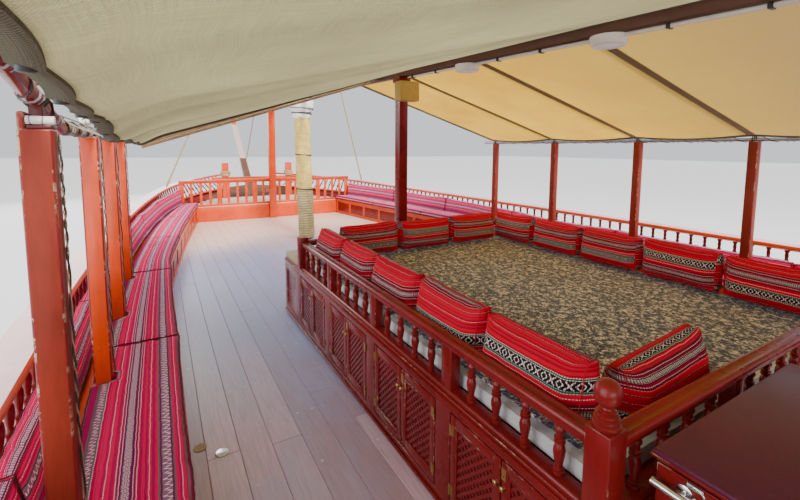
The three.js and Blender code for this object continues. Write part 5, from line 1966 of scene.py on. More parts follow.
def inflate(obj, pressure, cap):
    """Cloth under a light inner pressure, with each point's way held under a cap"""
    before = points_of(obj)
    cloth = obj.modifiers.new("Cloth", "CLOTH")
    cloth.settings.quality = 4
    cloth.settings.mass = 0.25
    cloth.settings.tension_stiffness = 12
    cloth.settings.compression_stiffness = 6
    cloth.settings.shear_stiffness = 4
    cloth.settings.bending_stiffness = 0.12
    cloth.settings.use_pressure = True
    cloth.settings.uniform_pressure_force = pressure
    cloth.settings.shrink_min = -0.035
    cloth.settings.effector_weights.gravity = 0
    cloth.point_cache.frame_start = 1
    cloth.point_cache.frame_end = 20
    scene = bpy.context.scene
    for frame_number in range(1, 21):
        scene.frame_set(frame_number)
    only(obj)
    bpy.ops.object.modifier_apply(modifier=cloth.name)
    scene.frame_set(1)
    after = points_of(obj)
    move = after - before
    far = np.linalg.norm(move, axis=1, keepdims=True)
    move *= np.minimum(1.0, cap / np.maximum(far, 1e-6))
    set_points(obj, before + move)


def crease(obj, size, seed, depth=0.007):
    """Folds that run in from the corners and a few soft dents, pressed into the cover"""
    places = points_of(obj)
    half = np.array(size) / 2
    moved = []
    obj.data.update()
    normals = np.array([v.normal for v in obj.data.vertices])
    for p in places:
        q = Vector((p[0] * 6 + seed * 3.1, p[1] * 9, p[2] * 9))
        fold = abs(noise.noise(q + Vector((0, 0, noise.noise(q * 0.5) * 2))))
        edge = abs(p[0]) / half[0]
        ridge = max(0.0, 0.22 - fold) / 0.22
        dent = noise.noise(Vector((p[0] * 2.6, p[1] * 4, p[2] * 4 + seed * 7.7)))
        moved.append(-depth * ridge * (0.35 + 0.9 * edge ** 2) + 1.1 * depth * dent)
    set_points(obj, places + normals * np.array(moved)[:, None])


def cushion(size, cell, seed, pressure=4.0, cap=0.03, folds=0.007, refine=0):
    """A stuffed cushion: a block that cloth simulation fills, creased and set back to its size"""
    length_, depth, height = size
    start = [s * f for s, f in zip(size, (0.97, 0.86, 0.90))]
    obj, seams = soft_block(*start, cell)
    rng = np.random.default_rng(seed)
    places = points_of(obj)
    set_points(obj, places + rng.uniform(-0.0015, 0.0015, places.shape))
    inflate(obj, pressure, cap)
    crease(obj, start, seed, folds)
    places = points_of(obj)
    low, high = places.min(axis=0), places.max(axis=0)
    share = (places - low) / (high - low)
    set_points(obj, share)
    if refine:
        put_modifier(obj, "SUBSURF", levels=refine, render_levels=refine)
    return obj, seams


def lay_cushion(pattern, seams, where, flip, welt, cover, piping, shift=(0.0, 0.0), turned_over=False):
    """Copies a cushion whose points are shares of its box to the place that a function gives them"""
    obj = bpy.data.objects.new("cushion", pattern.data.copy())
    bpy.context.scene.collection.objects.link(obj)
    layer = obj.data.uv_layers["cloth"]
    maps = np.empty(len(layer.data) * 2, dtype=np.float32)
    layer.data.foreach_get("uv", maps)
    maps[0::2] += shift[0]
    maps[1::2] = (-maps[1::2] if turned_over else maps[1::2]) + shift[1]
    layer.data.foreach_set("uv", maps)
    share = points_of(obj)
    if flip:
        share = share * np.array([-1, 1, 1]) + np.array([1, 0, 0])
    spots = np.stack(where(share[:, 0], share[:, 1], share[:, 2]), axis=1)
    set_points(obj, spots)
    face_out(obj)
    made = [paint_over(obj, cover)]
    for seam in seams:
        made.append(paint_over(welt_tube(spots[seam], welt), piping))
    return smooth(join(made), 70)


def welt_tube(line, radius):
    """The raised seam along a cushion's edge"""
    points = [Vector(p) for p in line]
    rings = []
    for i, p in enumerate(points):
        ahead = (points[min(i + 1, len(points) - 1)] - points[max(i - 1, 0)]).normalized()
        side = ahead.cross(Vector((0.31, 0.22, 0.92))).normalized()
        up = ahead.cross(side)
        rings.append(circle(p, radius * side, radius * up, 6)[:-1])
    return loft("welt", rings)


def lerp(a, b, share):
    return a + (b - a) * share


class DHOW_OT_benches(bpy.types.Operator):
    """Side benches with panelled fronts and a rounded seat board"""

    bl_idname = "dhow.benches"
    bl_label = "Benches"

    def execute(self, context):
        for name, side in SIDES:
            stops = spread(BENCH_AFT + 0.002, BENCH_FORE - 0.002, 80)

            def strip(x0, x1, z0, z1):
                """A board along the bench's front between two places"""
                rings = []
                for x in spread(x0, x1, max(3, int((x1 - x0) / 0.15))):
                    out, inn = side * (seat_edge(x) + 0.014), side * (seat_edge(x) + 0.029)
                    rings.append([(x, out, z0), (x, out, z1), (x, inn, z1), (x, inn, z0)])
                return loft("board", rings)

            def slab(name, front_in, back_in, low, high):
                """A solid from the bench's front back to the bulwark"""
                rings = []
                for x in stops:
                    front = side * (seat_edge(x) + front_in)
                    back = side * (float(np.interp(x, SEAT_PLACES, BULWARK_INSIDE)) - back_in)
                    rings.append([(x, front, high), (x, front, low), (x, back, low), (x, back, high)])
                return loft(name, rings)

            carcass = slab("carcass", 0.025, 0.026, DECK + 0.001, BENCH_TOP - 0.02)
            parts = [strip(BENCH_AFT, BENCH_FORE, DECK + 0.002, DECK + 0.065),
                     strip(BENCH_AFT, BENCH_FORE, BENCH_TOP - 0.075, BENCH_TOP - 0.021)]
            for x in spread(BENCH_AFT, BENCH_FORE - 0.07, 21):
                parts.append(strip(x, x + 0.07, DECK + 0.064, BENCH_TOP - 0.074))
            parts.append(slab("seat_board", 0.005, 0.02, BENCH_TOP - 0.022, BENCH_TOP))
            front = ease(painted_sunlit(join(parts)), 0.004)
            body = painted(ease(carcass, 0.006))
            settle(body, f"bench_carcass_{name}", "paint", f"bench_{name}")
            settle(front, f"bench_front_{name}", "paint")
        return {"FINISHED"}


# Where one seat cushion meets the next, and one back cushion the next, from aft to forward
SEAT_JOINTS = {
    "port": (-7.49, -5.76, -4.05, -2.33, -0.62, 1.1, 2.9, 4.73),
    "starboard": (-7.49, -5.7, -3.9, -2.1, -0.3, 1.45, 3.1, 4.73),
}
BACK_JOINTS = {
    "port": (-7.48, -5.4, -3.63, -1.87, -0.12, 1.55, 2.95, 4.73),
    "starboard": (-7.48, -5.6, -3.85, -2.1, -0.35, 1.3, 3.0, 4.73),
}


NOTCH_GIVE = 0.03  # how much of a seat is pressed together where it goes round a post


class DHOW_OT_seats(bpy.types.Operator):
    """Seat and back cushions along both sides, in striped weave"""

    bl_idname = "dhow.seats"
    bl_label = "Seat cushions"

    def execute(self, context):
        seats = [cushion((1.78, 0.42, 0.088), 0.028, seed, 3.0, 0.012, 0.004) for seed in (3, 8)]
        backs = [cushion((1.70, 0.15, 0.27), 0.028, seed, 4.0, 0.022, 0.006) for seed in (11, 17)]
        rng = random.Random(12)
        for name, side in SIDES:
            joints = SEAT_JOINTS[name]
            reach = POST_SIZE / 2 + 0.012
            behind_x, behind = [], []
            for x in POSTS[name]:
                for dx, share in ((-reach - 0.012, 0), (-reach, 1), (reach, 1), (reach + 0.012, 0)):
                    behind_x.append(x + dx)
                    behind.append(share)
            made = []
            for n, (a, b) in enumerate(zip(joints, joints[1:])):
                drop = rng.uniform(0, 0.006)

                def on_seat(s, w, h, a=a, b=b, drop=drop):
                    x = lerp(a + 0.003, b - 0.003, s)
                    edge = np.where(x < -0.3, 2.23, 2.23 - 0.64 * (np.maximum(x + 0.3, 0) / 5.05) ** 1.25)
                    outer = np.interp(x, SEAT_PLACES, SEAT_OUTER)
                    out = lerp(edge + 0.002, outer, w)
                    rim = np.minimum(outer, POST_Y - POST_SIZE / 2 - 0.009)
                    soft = rim - NOTCH_GIVE
                    pressed = soft + (out - soft) * NOTCH_GIVE / (outer - soft)
                    out = lerp(out, np.where(out < soft, out, pressed), np.interp(x, behind_x, behind))
                    return x, side * out, lerp(SEAT_LOW + 0.002, SEAT_HIGH + 0.004 - drop, h)

                made.append(
                    lay_cushion(*seats[n % 2], on_seat, n % 3 == 1, 0.0035, seat_weave(), seam_cloth())
                )
            settle(join(made), f"seat_pads_{name}", "red_weave", f"seat_cushions_{name}")
            joints = BACK_JOINTS[name]
            made = []
            for n, (a, b) in enumerate(zip(joints, joints[1:])):
                slump = rng.uniform(0.0, 0.008)

                def on_back(s, w, h, a=a, b=b, slump=slump):
                    x = lerp(a + 0.002, b - 0.002, s)
                    outer = np.interp(x, SEAT_PLACES, BACK_OUTER)
                    post = POST_Y + POST_SIZE / 2 + 0.009
                    inner = lerp(outer - 0.148, outer - 0.088, h)
                    inner = lerp(inner, np.maximum(inner, post), np.interp(x, behind_x, behind))
                    ends_down = 0.008 * (2 * s - 1) ** 8
                    top = np.interp(x, SEAT_PLACES, BACK_TOPS) + 0.004 - slump - ends_down
                    return x, side * lerp(inner, outer, w), lerp(SEAT_LOW + 0.006, top, h)

                made.append(
                    lay_cushion(*backs[n % 2], on_back, n % 2 == 1, 0.003, seat_weave(), seam_cloth())
                )
            settle(join(made), f"back_pads_{name}", "red_weave", f"back_cushions_{name}")
        for pattern, _ in seats + backs:
            bpy.data.objects.remove(pattern)
        return {"FINISHED"}


RAIL_AFT = PLATFORM_LOW.x + 0.042
BAY = 0.745
BAY_START = PLATFORM_LOW.x + 0.045
RAIL_FORE = BAY_START + 4 * BAY - 0.01
RAIL_Y = 1.24 - 0.042
SILL = DECK + 0.56
RAIL_HEAD = DECK + 0.81
HANDRAIL_SECTION = (
    (-0.033, -0.010), (-0.028, -0.002), (-0.018, 0.001), (-0.012, -0.003), (0.012, -0.003), (0.018, 0.001),
    (0.028, -0.002), (0.033, -0.010), (0.033, -0.022), (0.027, -0.027), (0.027, -0.034), (0.022, -0.048),
    (-0.022, -0.048), (-0.027, -0.034), (-0.027, -0.027), (-0.033, -0.022),
)


def straight_rail(start, end, section, level):
    """A moulded bar between two places on the platform's rail line"""
    (x0, y0), (x1, y1) = start, end
    across = Vector((y1 - y0, x0 - x1, 0)).normalized()
    rings = []
    for x, y in (start, ((x0 + x1) / 2, (y0 + y1) / 2), end):
        rings.append([(x + across.x * out, y + across.y * out, level + up) for out, up in section])
    return loft("rail", rings)


class DHOW_OT_platform(bpy.types.Operator):
    """Seating platform with its turned rail, newels and ball finials"""

    bl_idname = "dhow.platform"
    bl_label = "Platform"

    def execute(self, context):
        carcass = from_node("platform", 0.003, 2, (paint(), paint_edge()))
        settle(carcass, "platform_carcass", "paint", "platform")
        corners = ((RAIL_AFT, RAIL_Y), (RAIL_FORE, RAIL_Y), (RAIL_FORE, -RAIL_Y), (RAIL_AFT, -RAIL_Y))
        sill_section = (
            (-0.034, 0.002), (-0.034, 0.014), (-0.028, 0.022), (0.028, 0.022), (0.034, 0.014),
            (0.034, 0.002)
        )
        rails, sills = [], []
        for start, end in zip(corners, corners[1:] + corners[:1]):
            rails.append(straight_rail(start, end, HANDRAIL_SECTION, RAIL_HEAD))
            sills.append(straight_rail(start, end, sill_section, SILL))
        tops = painted(ease(join(rails + sills), 0.0025, 2))
        across = spread(-RAIL_Y, RAIL_Y, 16)
        posts = []
        for i in (1, 2, 3):
            for y in (RAIL_Y, -RAIL_Y):
                posts.append(upright(BAY_START + i * BAY, y, 0.036, 0.028, SILL + 0.003, RAIL_HEAD - 0.03))
        for x in (RAIL_AFT, RAIL_FORE):
            for y in (across[5], across[10]):
                posts.append(upright(x, y, 0.028, 0.036, SILL + 0.003, RAIL_HEAD - 0.03))
        posts += [upright(x, y, 0.042, 0.042, SILL + 0.002, RAIL_HEAD + 0.034) for x, y in corners]
        posts = painted(timbers(posts))
        ease(posts, 0.005)
        settle(join([tops, posts]), "platform_handrail", "paint", "platform_rail")
        spots = []
        for k in range(20):
            if k % 5:
                spots += [(BAY_START + BAY * k / 5 + 0.004, y, SILL + 0.02) for y in (RAIL_Y, -RAIL_Y)]
        for k in range(1, 15):
            if k % 5:
                spots += [(x, across[k], SILL + 0.02) for x in (RAIL_AFT, RAIL_FORE)]
        tall = RAIL_HEAD - 0.046 - SILL - 0.02
        shape = (
            (0.76, 0.0), (0.76, 0.045), (0.98, 0.06), (0.98, 0.09), (0.72, 0.105), (0.86, 0.125),
            (0.86, 0.145),
            (0.60, 0.165), (0.74, 0.27), (0.96, 0.40), (1.0, 0.47), (0.90, 0.54), (0.66, 0.60),
            (0.92, 0.62),
            (0.92, 0.65), (0.70, 0.665), (0.88, 0.685), (0.88, 0.715), (0.62, 0.735), (0.66, 0.83),
            (0.90, 0.86),
            (0.90, 0.90), (0.76, 0.915), (0.76, 1.0),
        )
        spindle = turn([(r * 0.0205, h * tall) for r, h in shape], 16)
        settle(paint_over(copies(spindle, spots), paint()), "platform_balusters", "paint")
        ball = turn([
            (0.036, 0.0), (0.040, 0.006), (0.040, 0.014), (0.034, 0.018), (0.037, 0.022), (0.037, 0.030),
            (0.030, 0.034),
            (0.033, 0.038), (0.033, 0.044), (0.025, 0.048), (0.027, 0.053), (0.019, 0.058), (0.0175, 0.064),
            (0.024, 0.068),
            (0.033, 0.078), (0.0385, 0.092), (0.040, 0.104), (0.0385, 0.116), (0.033, 0.129),
            (0.024, 0.139),
            (0.012, 0.1445), (0.002, 0.1455),
        ], 32)
        places = [(RAIL_AFT, side * RAIL_Y, RAIL_HEAD + 0.033) for side in (1, -1)]
        settle(paint_over(smooth(copies(ball, places), 40), paint()), "newel_finials", "paint")
        stump = timbers(
            [block(RAIL_FORE + 0.05, PLATFORM_HIGH.x - 0.012, 1.10, 1.232, SILL + 0.001, SILL + 0.062)]
        )
        settle(paint_over(ease(stump, 0.008), pale_wood()), "corner_block", "bare_wood")
        beads = timbers([
            block(PLATFORM_LOW.x, PLATFORM_HIGH.x, side * 1.24, side * 1.251, DECK + z0, DECK + z0 + 0.016)
            for side in (1, -1) for z0 in (0.02, 0.532)
        ])
        settle(painted(ease(beads, 0.004)), "platform_beads", "paint")
        return {"FINISHED"}


DOOR_WIDTH = 0.306
DOOR_HEIGHT = 0.42
DOOR_FOOT = DECK + 0.075


def lattice(width, height, thick):
    """Crossed slats in two layers, cut to a door's panel"""
    pitch = sizes().lattice_pitch
    half = sizes().lattice_slat / 2
    reach = (width + height) / 2
    bars = []
    for layer, tilt in ((0, 45), (1, -45)):
        boxes = []
        n = int(reach / pitch) + 1
        for k in range(-n, n + 1):
            at = k * pitch
            boxes.append(
                ((at - half, layer * thick / 2, -reach), (at + half, (layer + 1) * thick / 2, reach))
            )
        bars.append(moved(timbers(boxes), Matrix.Rotation(math.radians(tilt), 4, "Y")))
    panel = join(bars)
    only(panel)
    bpy.ops.object.mode_set(mode="EDIT")
    for at, way in (((width / 2, 0, 0), (1, 0, 0)), ((-width / 2, 0, 0), (-1, 0, 0)),
                    ((0, 0, height / 2), (0, 0, 1)), ((0, 0, -height / 2), (0, 0, -1))):
        bpy.ops.mesh.select_all(action="SELECT")
        bpy.ops.mesh.bisect(plane_co=at, plane_no=way, clear_outer=True, use_fill=True)
    bpy.ops.object.mode_set(mode="OBJECT")
    return panel


class DHOW_OT_doors(bpy.types.Operator):
    """Locker doors with a fine lattice in each panel, brass hinges and latches"""

    bl_idname = "dhow.doors"
    bl_label = "Doors"

    def execute(self, context):
        w, h = DOOR_WIDTH / 2, DOOR_HEIGHT / 2
        stile, rail, thick = 0.034, 0.044, 0.026
        in_x, in_z = w - stile, h - rail
        leaf = timbers([
            block(-w, -in_x, -thick, 0, -h, h), block(in_x, w, -thick, 0, -h, h),
            block(-in_x, in_x, -thick, 0, -h, -in_z), block(-in_x, in_x, -thick, 0, in_z, h),
        ])
        ease(painted(leaf), 0.0035)
        pane = timbers([block(-in_x - 0.004, in_x + 0.004, -0.024, -0.014, -in_z - 0.004, in_z + 0.004)])
        grid = moved(lattice(2 * in_x + 0.004, 2 * in_z + 0.004, 0.008), at(0, -0.0145, 0))
        bead = (-0.012, -0.001)
        beads = timbers([
            block(-in_x, in_x, *bead, in_z - 0.008, in_z), block(-in_x, in_x, *bead, -in_z, -in_z + 0.008),
            block(-in_x, -in_x + 0.008, *bead, -in_z, in_z), block(in_x - 0.008, in_x, *bead, -in_z, in_z),
        ])
        ease(painted(beads), 0.002)
        for bay in range(4):
            for part, word in enumerate("ab"):
                body = f"door_port_{bay + 1}{word}"
                away = 1 if part else -1
                x = BAY_START + BAY * (bay + 0.5) + away * (w + 0.004)
                hung = at(x, 1.24, DOOR_FOOT + h)
                made = []
                for pattern, finish in ((leaf, None), (pane, dark_shadow_paint()), (grid, paint()), (beads, None)):
                    piece = bpy.data.objects.new("leaf", pattern.data.copy())
                    context.scene.collection.objects.link(piece)
                    moved(piece, hung)
                    if finish:
                        paint_over(piece, finish)
                    made.append(piece)
                settle(join(made), f"lattice_{body}", "paint", body, body=body)
                plates = []
                for z in (-0.14, 0.14):
                    hinge = turn([(0.0045, -0.026), (0.0045, 0.026)], 10)
                    plates.append(moved(hinge, hung @ at(away * (w - 0.001), 0.003, z)))
                    near, far = sorted((away * (w - 0.022), away * (w - 0.001)))
                    flap = timbers([block(near, far, -0.0005, 0.0015, z - 0.024, z + 0.024)])
                    plates.append(moved(flap, hung))
                knob = turn(
                    [(0.006, 0.0), (0.005, 0.006), (0.009, 0.010), (0.010, 0.015), (0.006, 0.019)], 14
                )
                plates.append(moved(knob, hung @ at(away * (0.014 - w), 0.0, h - 0.10) @ TO_PORT))
                if not part:
                    latch = timbers([block(w - 0.026, w - 0.002, -0.0005, 0.003, h - 0.070, h - 0.022)])
                    plates.append(moved(latch, hung))
                settle(
                    paint_over(face_out(join(plates)), brass()), f"fittings_{body}", "bare_wood", body=body
                )
        for pattern in (leaf, pane, grid, beads):
            bpy.data.objects.remove(pattern)
        return {"FINISHED"}


# Bolsters: row, start and end along the rail, and how the cloth lies on each one:
# where its wide band is in the map's girth, and whether it is turned over
BOLSTER_ROWS = (
    ("port", -4.48, -1.76, ((0.190, False), (0.125, False), (0.38, True), (0.40, True), (0.38, True))),
    (
        "starboard", -4.54, -1.76,
        ((0.664, False), (0.560, True), (0.655, False), (0.664, False), (0.560, True))
    ),
    ("fore", -0.92, 0.92, ((0.660, False), (0.570, True), (0.664, False))),
    ("aft", 0.33, 0.91, ((0.030, False),)),
)
BAND_MIDDLE = 0.0635  # of the weave's wide band, as a share of the repeat
FULL_SHARE = 0.55  # up to this share of its half length a bolster keeps its full depth


class DHOW_OT_bolsters(bpy.types.Operator):
    """Padded floor, flowered rug and the woven bolsters round the platform"""

    bl_idname = "dhow.bolsters"
    bl_label = "Bolsters and rug"

    def execute(self, context):
        low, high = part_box("platform_pad")
        pad, _ = cushion((high.x - low.x, high.y - low.y, high.z - low.z), 0.05, 2, 2.0, 0.006, 0.0015)
        share = points_of(pad)
        set_points(pad, np.array(low) + share * (np.array(high) - np.array(low)))
        settle(smooth(paint_over(face_out(pad), foam_cover()), 60), "floor_pad", "foam", "platform_pad")
        low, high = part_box("platform_rug")
        rings = []
        for x in spread(low.x, high.x, 90):
            rings.append([(x, y, low.z + 0.001 + 0.0025 * (1 + noise.noise(Vector((x * 2.2, y * 2.2, 3.3)))))
                          for y in spread(low.y, high.y, 70)])
        rug = loft("rug", rings, closed=False)
        put_modifier(rug, "SOLIDIFY", thickness=0.005, offset=1)
        settle(smooth(paint_over(rug, rug_pile()), 60), "flowered_rug", "rug", "platform_rug")
        kinds = [cushion((0.6, 0.222, 0.315), 0.02, seed, 4.5, 0.03, 0.009, 1) for seed in (31, 37, 41, 47)]
        rng = random.Random(77)
        for word, start, end, covers in BOLSTER_ROWS:
            low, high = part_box(f"bolsters_{word}")
            made = []
            for n, (band, turned_over) in enumerate(covers):
                a = lerp(start, end, n / len(covers))
                b = lerp(start, end, (n + 1) / len(covers))
                droop, tilt = rng.uniform(0.0, 0.014), rng.uniform(-0.010, 0.010)

                def in_row(s, w, h, a=a, b=b, droop=droop, tilt=tilt):
                    run = lerp(a + 0.0005, b - 0.0005, s)
                    out = np.abs(2 * s - 1)
                    taper = np.clip((out - FULL_SHARE) / (1 - FULL_SHARE), 0, 1)
                    plump = lerp(0.1135, 0.042, h ** 3) * (1 - 0.12 * (1 - h) ** 4)
                    deep = 0.1165 + (2 * w - 1) * plump * np.maximum(0.04, (1 - taper ** 3) ** 0.6)
                    ear = 0.018 * taper ** 3 * h ** 2
                    tall = 0.306 - droop - 0.010 * (1 - out ** 3)
                    z = low.z + 0.002 + h * tall + ear + tilt * h * (s - 0.5)
                    if word == "aft":
                        z = z - h * lerp(0.03, 0.09, s)
                    if word == "port":
                        return run, high.y - deep, z
                    if word == "starboard":
                        return run, low.y + deep, z
                    if word == "fore":
                        return high.x - deep, run, z
                    return low.x + deep, run, z

                shift = sizes().weave_repeat * BAND_MIDDLE + (band if turned_over else -band)
                kind = kinds[(n + len(word)) % 4]
                cloths = (cushion_weave(), red_seam())
                slide = (0.013 * n, shift)
                made.append(lay_cushion(*kind, in_row, n % 2 == 0, 0.0024, *cloths, slide, turned_over))
            settle(join(made), f"bolster_row_{word}", "red_weave", f"bolsters_{word}")
        for pattern, _ in kinds:
            bpy.data.objects.remove(pattern)
        return {"FINISHED"}


COUNTER_RAIL_DROP = 0.048
COUNTER_RAIL_OUT = 0.042


class DHOW_OT_counter(bpy.types.Operator):
    """Counter behind the platform with its lid, catches and steel rail"""

    bl_idname = "dhow.counter"
    bl_label = "Counter"

    def execute(self, context):
        lid_low, lid_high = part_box("counter_lid")
        aft, fore = lid_low.x + 0.02, lid_high.x - 0.015
        starboard, port = lid_low.y + 0.015, lid_high.y - 0.015
        top, wall = DECK + 0.77, 0.03
        foot, inn, out = DECK + 0.001, starboard + wall, port - wall
        walls = [
            block(aft, fore, out, port, foot, top), block(aft, fore, starboard, inn, foot, top),
            block(aft, aft + wall, inn, out, foot, top), block(fore - wall, fore, inn, out, foot, top),
            block(aft + wall, fore - wall, inn, out, foot, DECK + 0.06),
        ]
        carcass = ease(painted(timbers(walls)), 0.004)
        trims = []
        for level in ((top - 0.052, top - 0.006), (DECK + 0.002, DECK + 0.07)):
            trims.append(block(aft - 0.006, fore, port, port + 0.011, *level))
            trims.append(block(aft - 0.011, aft, starboard, port, *level))
        for x, y in zip(spread(aft, fore - 0.06, 3), spread(starboard, port - 0.06, 3)):
            trims.append(block(x, x + 0.06, port, port + 0.010, DECK + 0.069, top - 0.051))
            trims.append(block(aft - 0.010, aft, y, y + 0.06, DECK + 0.069, top - 0.051))
        trims = ease(painted(timbers(trims)), 0.003)
        settle(join([carcass, trims]), "counter_carcass", "paint", "counter")
        z, y = top - COUNTER_RAIL_DROP, port + COUNTER_RAIL_OUT
        rail = [tube("rail", [(aft + 0.04, y, z), (fore - 0.005, y, z)], 0.012, 16)]
        for x in (aft + 0.09, fore - 0.075):
            rail.append(tube("arm", [(x, port - 0.004, z), (x, y, z)], 0.009, 12))
            rose = turn([(0.024, 0.0), (0.024, 0.004), (0.018, 0.007)], 20)
            rail.append(moved(rose, at(x, port + 0.0112, z) @ TO_PORT))
        settle(paint_over(join(rail), steel()), "counter_rail", "bare_wood")
        lid = paint_over(timbers([(lid_low, lid_high)]), counter_paint(), paint_edge())
        bevel(lid, 0.009, 3, 0)
        level = (lid_low.z + 0.005, lid_low.z + 0.014)
        lip = [block(lid_low.x, lid_high.x, lid_high.y - 0.004, lid_high.y + 0.003, *level)]
        for a, b in ((lid_low.x - 0.003, lid_low.x + 0.004), (lid_high.x - 0.004, lid_high.x + 0.003)):
            lip.append(block(a, b, lid_low.y, lid_high.y, *level))
        lip = ease(painted(timbers(lip)), 0.002)
        settle(smooth(join([lid, lip])), "counter_top", "paint", "counter_lid", body="counter_lid")
        catches = []
        for x in (fore - 0.10, fore - 0.42):
            ring = circle((x, port + 0.012, top - 0.030), (0.022, 0, 0), (0, 0, 0.016), 16)
            catches.append(tube("catch", ring, 0.0035, 8))
            plate = block(x - 0.020, x + 0.020, port + 0.0112, port + 0.0145, top - 0.022, top - 0.008)
            catches.append(timbers([plate]))
        settle(paint_over(join(catches), steel()), "counter_catches", "bare_wood")
        hinges = []
        for y in (starboard + 0.16, port - 0.16):
            pin = [(aft - 0.0200, y + reach, top + 0.001) for reach in (-0.035, 0.035)]
            hinges.append(tube("pin", pin, 0.006, 12))
        settle(paint_over(join(hinges), brass()), "counter_hinges", "bare_wood")
        return {"FINISHED"}


WHEEL_CENTRE = (-8.55, 0, DECK + 1.32)
# The rim's section: radius, and forward of the wheel's middle
WHEEL_RIM = (
    (0.376, -0.013), (0.384, -0.018), (0.416, -0.018), (0.424, -0.013), (0.424, 0.013), (0.416, 0.018),
    (0.384, 0.018), (0.376, 0.013),
)


class DHOW_OT_helm(bpy.types.Operator):
    """Helm stand with raised panels, and the spoked wheel"""

    bl_idname = "dhow.helm"
    bl_label = "Helm"

    def execute(self, context):
        low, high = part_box("helm_stand")
        stand = from_node("helm_stand", 0.010, 3, (paint(), paint_edge()))
        x = (low.x + high.x) / 2
        cap = timbers([
            upright(x, 0, 0.15, 0.21, high.z - 0.004, high.z + 0.022),
            block(
                low.x - 0.004, high.x + 0.004, low.y - 0.004, high.y + 0.004, low.z + 0.001, low.z + 0.06
            ),
        ])
        ease(painted(cap), 0.008, 3)
        settle(join([stand, cap]), "helm_pedestal", "paint", "helm_stand")
        bowl = turn([
            (0.085, 0.0), (0.085, 0.012), (0.075, 0.02), (0.070, 0.055), (0.062, 0.066), (0.056, 0.060),
            (0.004, 0.060),
        ], 32)
        moved(bowl, at(x, 0, high.z + 0.021))
        settle(paint_over(face_out(bowl), brass()), "compass_bowl", "bare_wood")
        centre = at(*WHEEL_CENTRE)
        rings = []
        for a in spread(0, math.tau, 73)[:-1]:
            rings.append([(r * math.cos(a), r * math.sin(a), z) for r, z in WHEEL_RIM])
        rim = loft("rim", rings + rings[:1], capped=False)
        spoke = turn([
            (0.014, 0.05), (0.017, 0.08), (0.019, 0.11), (0.012, 0.125), (0.018, 0.135), (0.012, 0.145),
            (0.015, 0.22),
            (0.017, 0.30), (0.013, 0.35), (0.018, 0.36), (0.018, 0.44), (0.013, 0.450), (0.011, 0.462),
            (0.016, 0.480),
            (0.0175, 0.495), (0.014, 0.512), (0.006, 0.519),
        ], 14)
        places = [Matrix.Rotation(k * math.pi / 4, 4, "Z") @ TO_FORE for k in range(8)]
        wood = moved(join([rim, copies(spoke, places)]), centre @ TO_FORE)
        settle(
            paint_over(smooth(wood, 40), oiled_wood()), "wheel_rim_and_spokes", "oiled_wood", "helm_wheel",
            body="helm_wheel"
        )
        fittings = [turn([
            (0.030, -0.060), (0.055, -0.055), (0.062, -0.030), (0.062, 0.020), (0.055, 0.030),
            (0.040, 0.034),
            (0.036, 0.044), (0.010, 0.046),
        ], 32)]
        for r in (0.392, 0.408):
            fittings.append(tube("inlay", circle((0, 0, 0.0185), (r, 0, 0), (0, r, 0), 73), 0.0022, 6))
        hub = moved(join(fittings), centre @ TO_FORE.inverted())
        settle(paint_over(hub, brass()), "wheel_hub", "bronze", body="helm_wheel")
        return {"FINISHED"}


PROPELLER_CENTRE = (-9.18, 0, -0.83)
# A blade's sections: radius, half width and half thickness
BLADE = (
    (0.05, 0.070, 0.018), (0.12, 0.100, 0.016), (0.20, 0.135, 0.0135), (0.28, 0.150, 0.011),
    (0.35, 0.142, 0.009), (0.40, 0.118, 0.007), (0.435, 0.084, 0.006), (0.455, 0.040, 0.004),
)


class DHOW_OT_stern_gear(bpy.types.Operator):
    """Rudder with its straps, the propeller and the engine block"""

    bl_idname = "dhow.stern_gear"
    bl_label = "Stern gear"

    def execute(self, context):
        rudder = from_node("rudder", 0.010, 3, (wetted_wood(),))
        settle(rudder, "rudder_blade", "oiled_wood", "rudder", body="rudder")
        straps = []
        for z in (-1.066, -0.166, 0.834):
            x = transom_x(z) - 0.23
            long = 0.42 if z < 0 else 0.14
            lean = STERN_RAKE * 0.066
            outline = ((x, z), (x - lean, z + 0.066), (x - lean - long, z + 0.066), (x - long, z))
            for side in (1, -1):
                faces = [[(px, side * y, pz) for px, pz in outline] for y in (0.0382, 0.0440)]
                straps.append(loft("strap", faces))
                for px in spread(x - 0.03, x + 0.03 - long, 3):
                    bolt = turn([(0.011, 0.0), (0.011, 0.004), (0.006, 0.008)], 10)
                    outward = Matrix.Rotation(-side * math.pi / 2, 4, "X")
                    straps.append(moved(bolt, at(px, side * 0.044, z + 0.033) @ outward))
        iron_work = join([face_out(piece) for piece in straps])
        settle(paint_over(iron_work, iron()), "rudder_straps", "iron", body="rudder")
        hub = turn([
            (0.030, -0.112), (0.060, -0.100), (0.074, -0.060), (0.084, 0.0), (0.086, 0.110), (0.040, 0.120),
            (0.040, 0.318),
        ], 28)
        centre = at(*PROPELLER_CENTRE)
        blades = [moved(hub, centre @ TO_FORE)]
        for k in range(4):
            rings = []
            for r, w, t in BLADE:
                twist = 1.05 - r / 0.9
                ring = []
                sin, cos = math.sin(twist), math.cos(twist)
                for j in range(20):
                    a = j * math.tau / 20
                    u, v = w * math.cos(a), t * math.sin(a) * (1 + 0.35 * math.cos(a))
                    ring.append((u * sin + v * cos, u * cos - v * sin, r))
                rings.append(ring)
            blades.append(moved(loft("blade", rings), centre @ Matrix.Rotation(k * math.pi / 2, 4, "X")))
        screw = paint_over(smooth(join(blades), 50), bronze())
        settle(screw, "propeller_casting", "bronze", "propeller", body="propeller")
        settle(from_node("engine", 0.03, 3, (iron(),)), "engine_block", "iron", "engine")
        return {"FINISHED"}


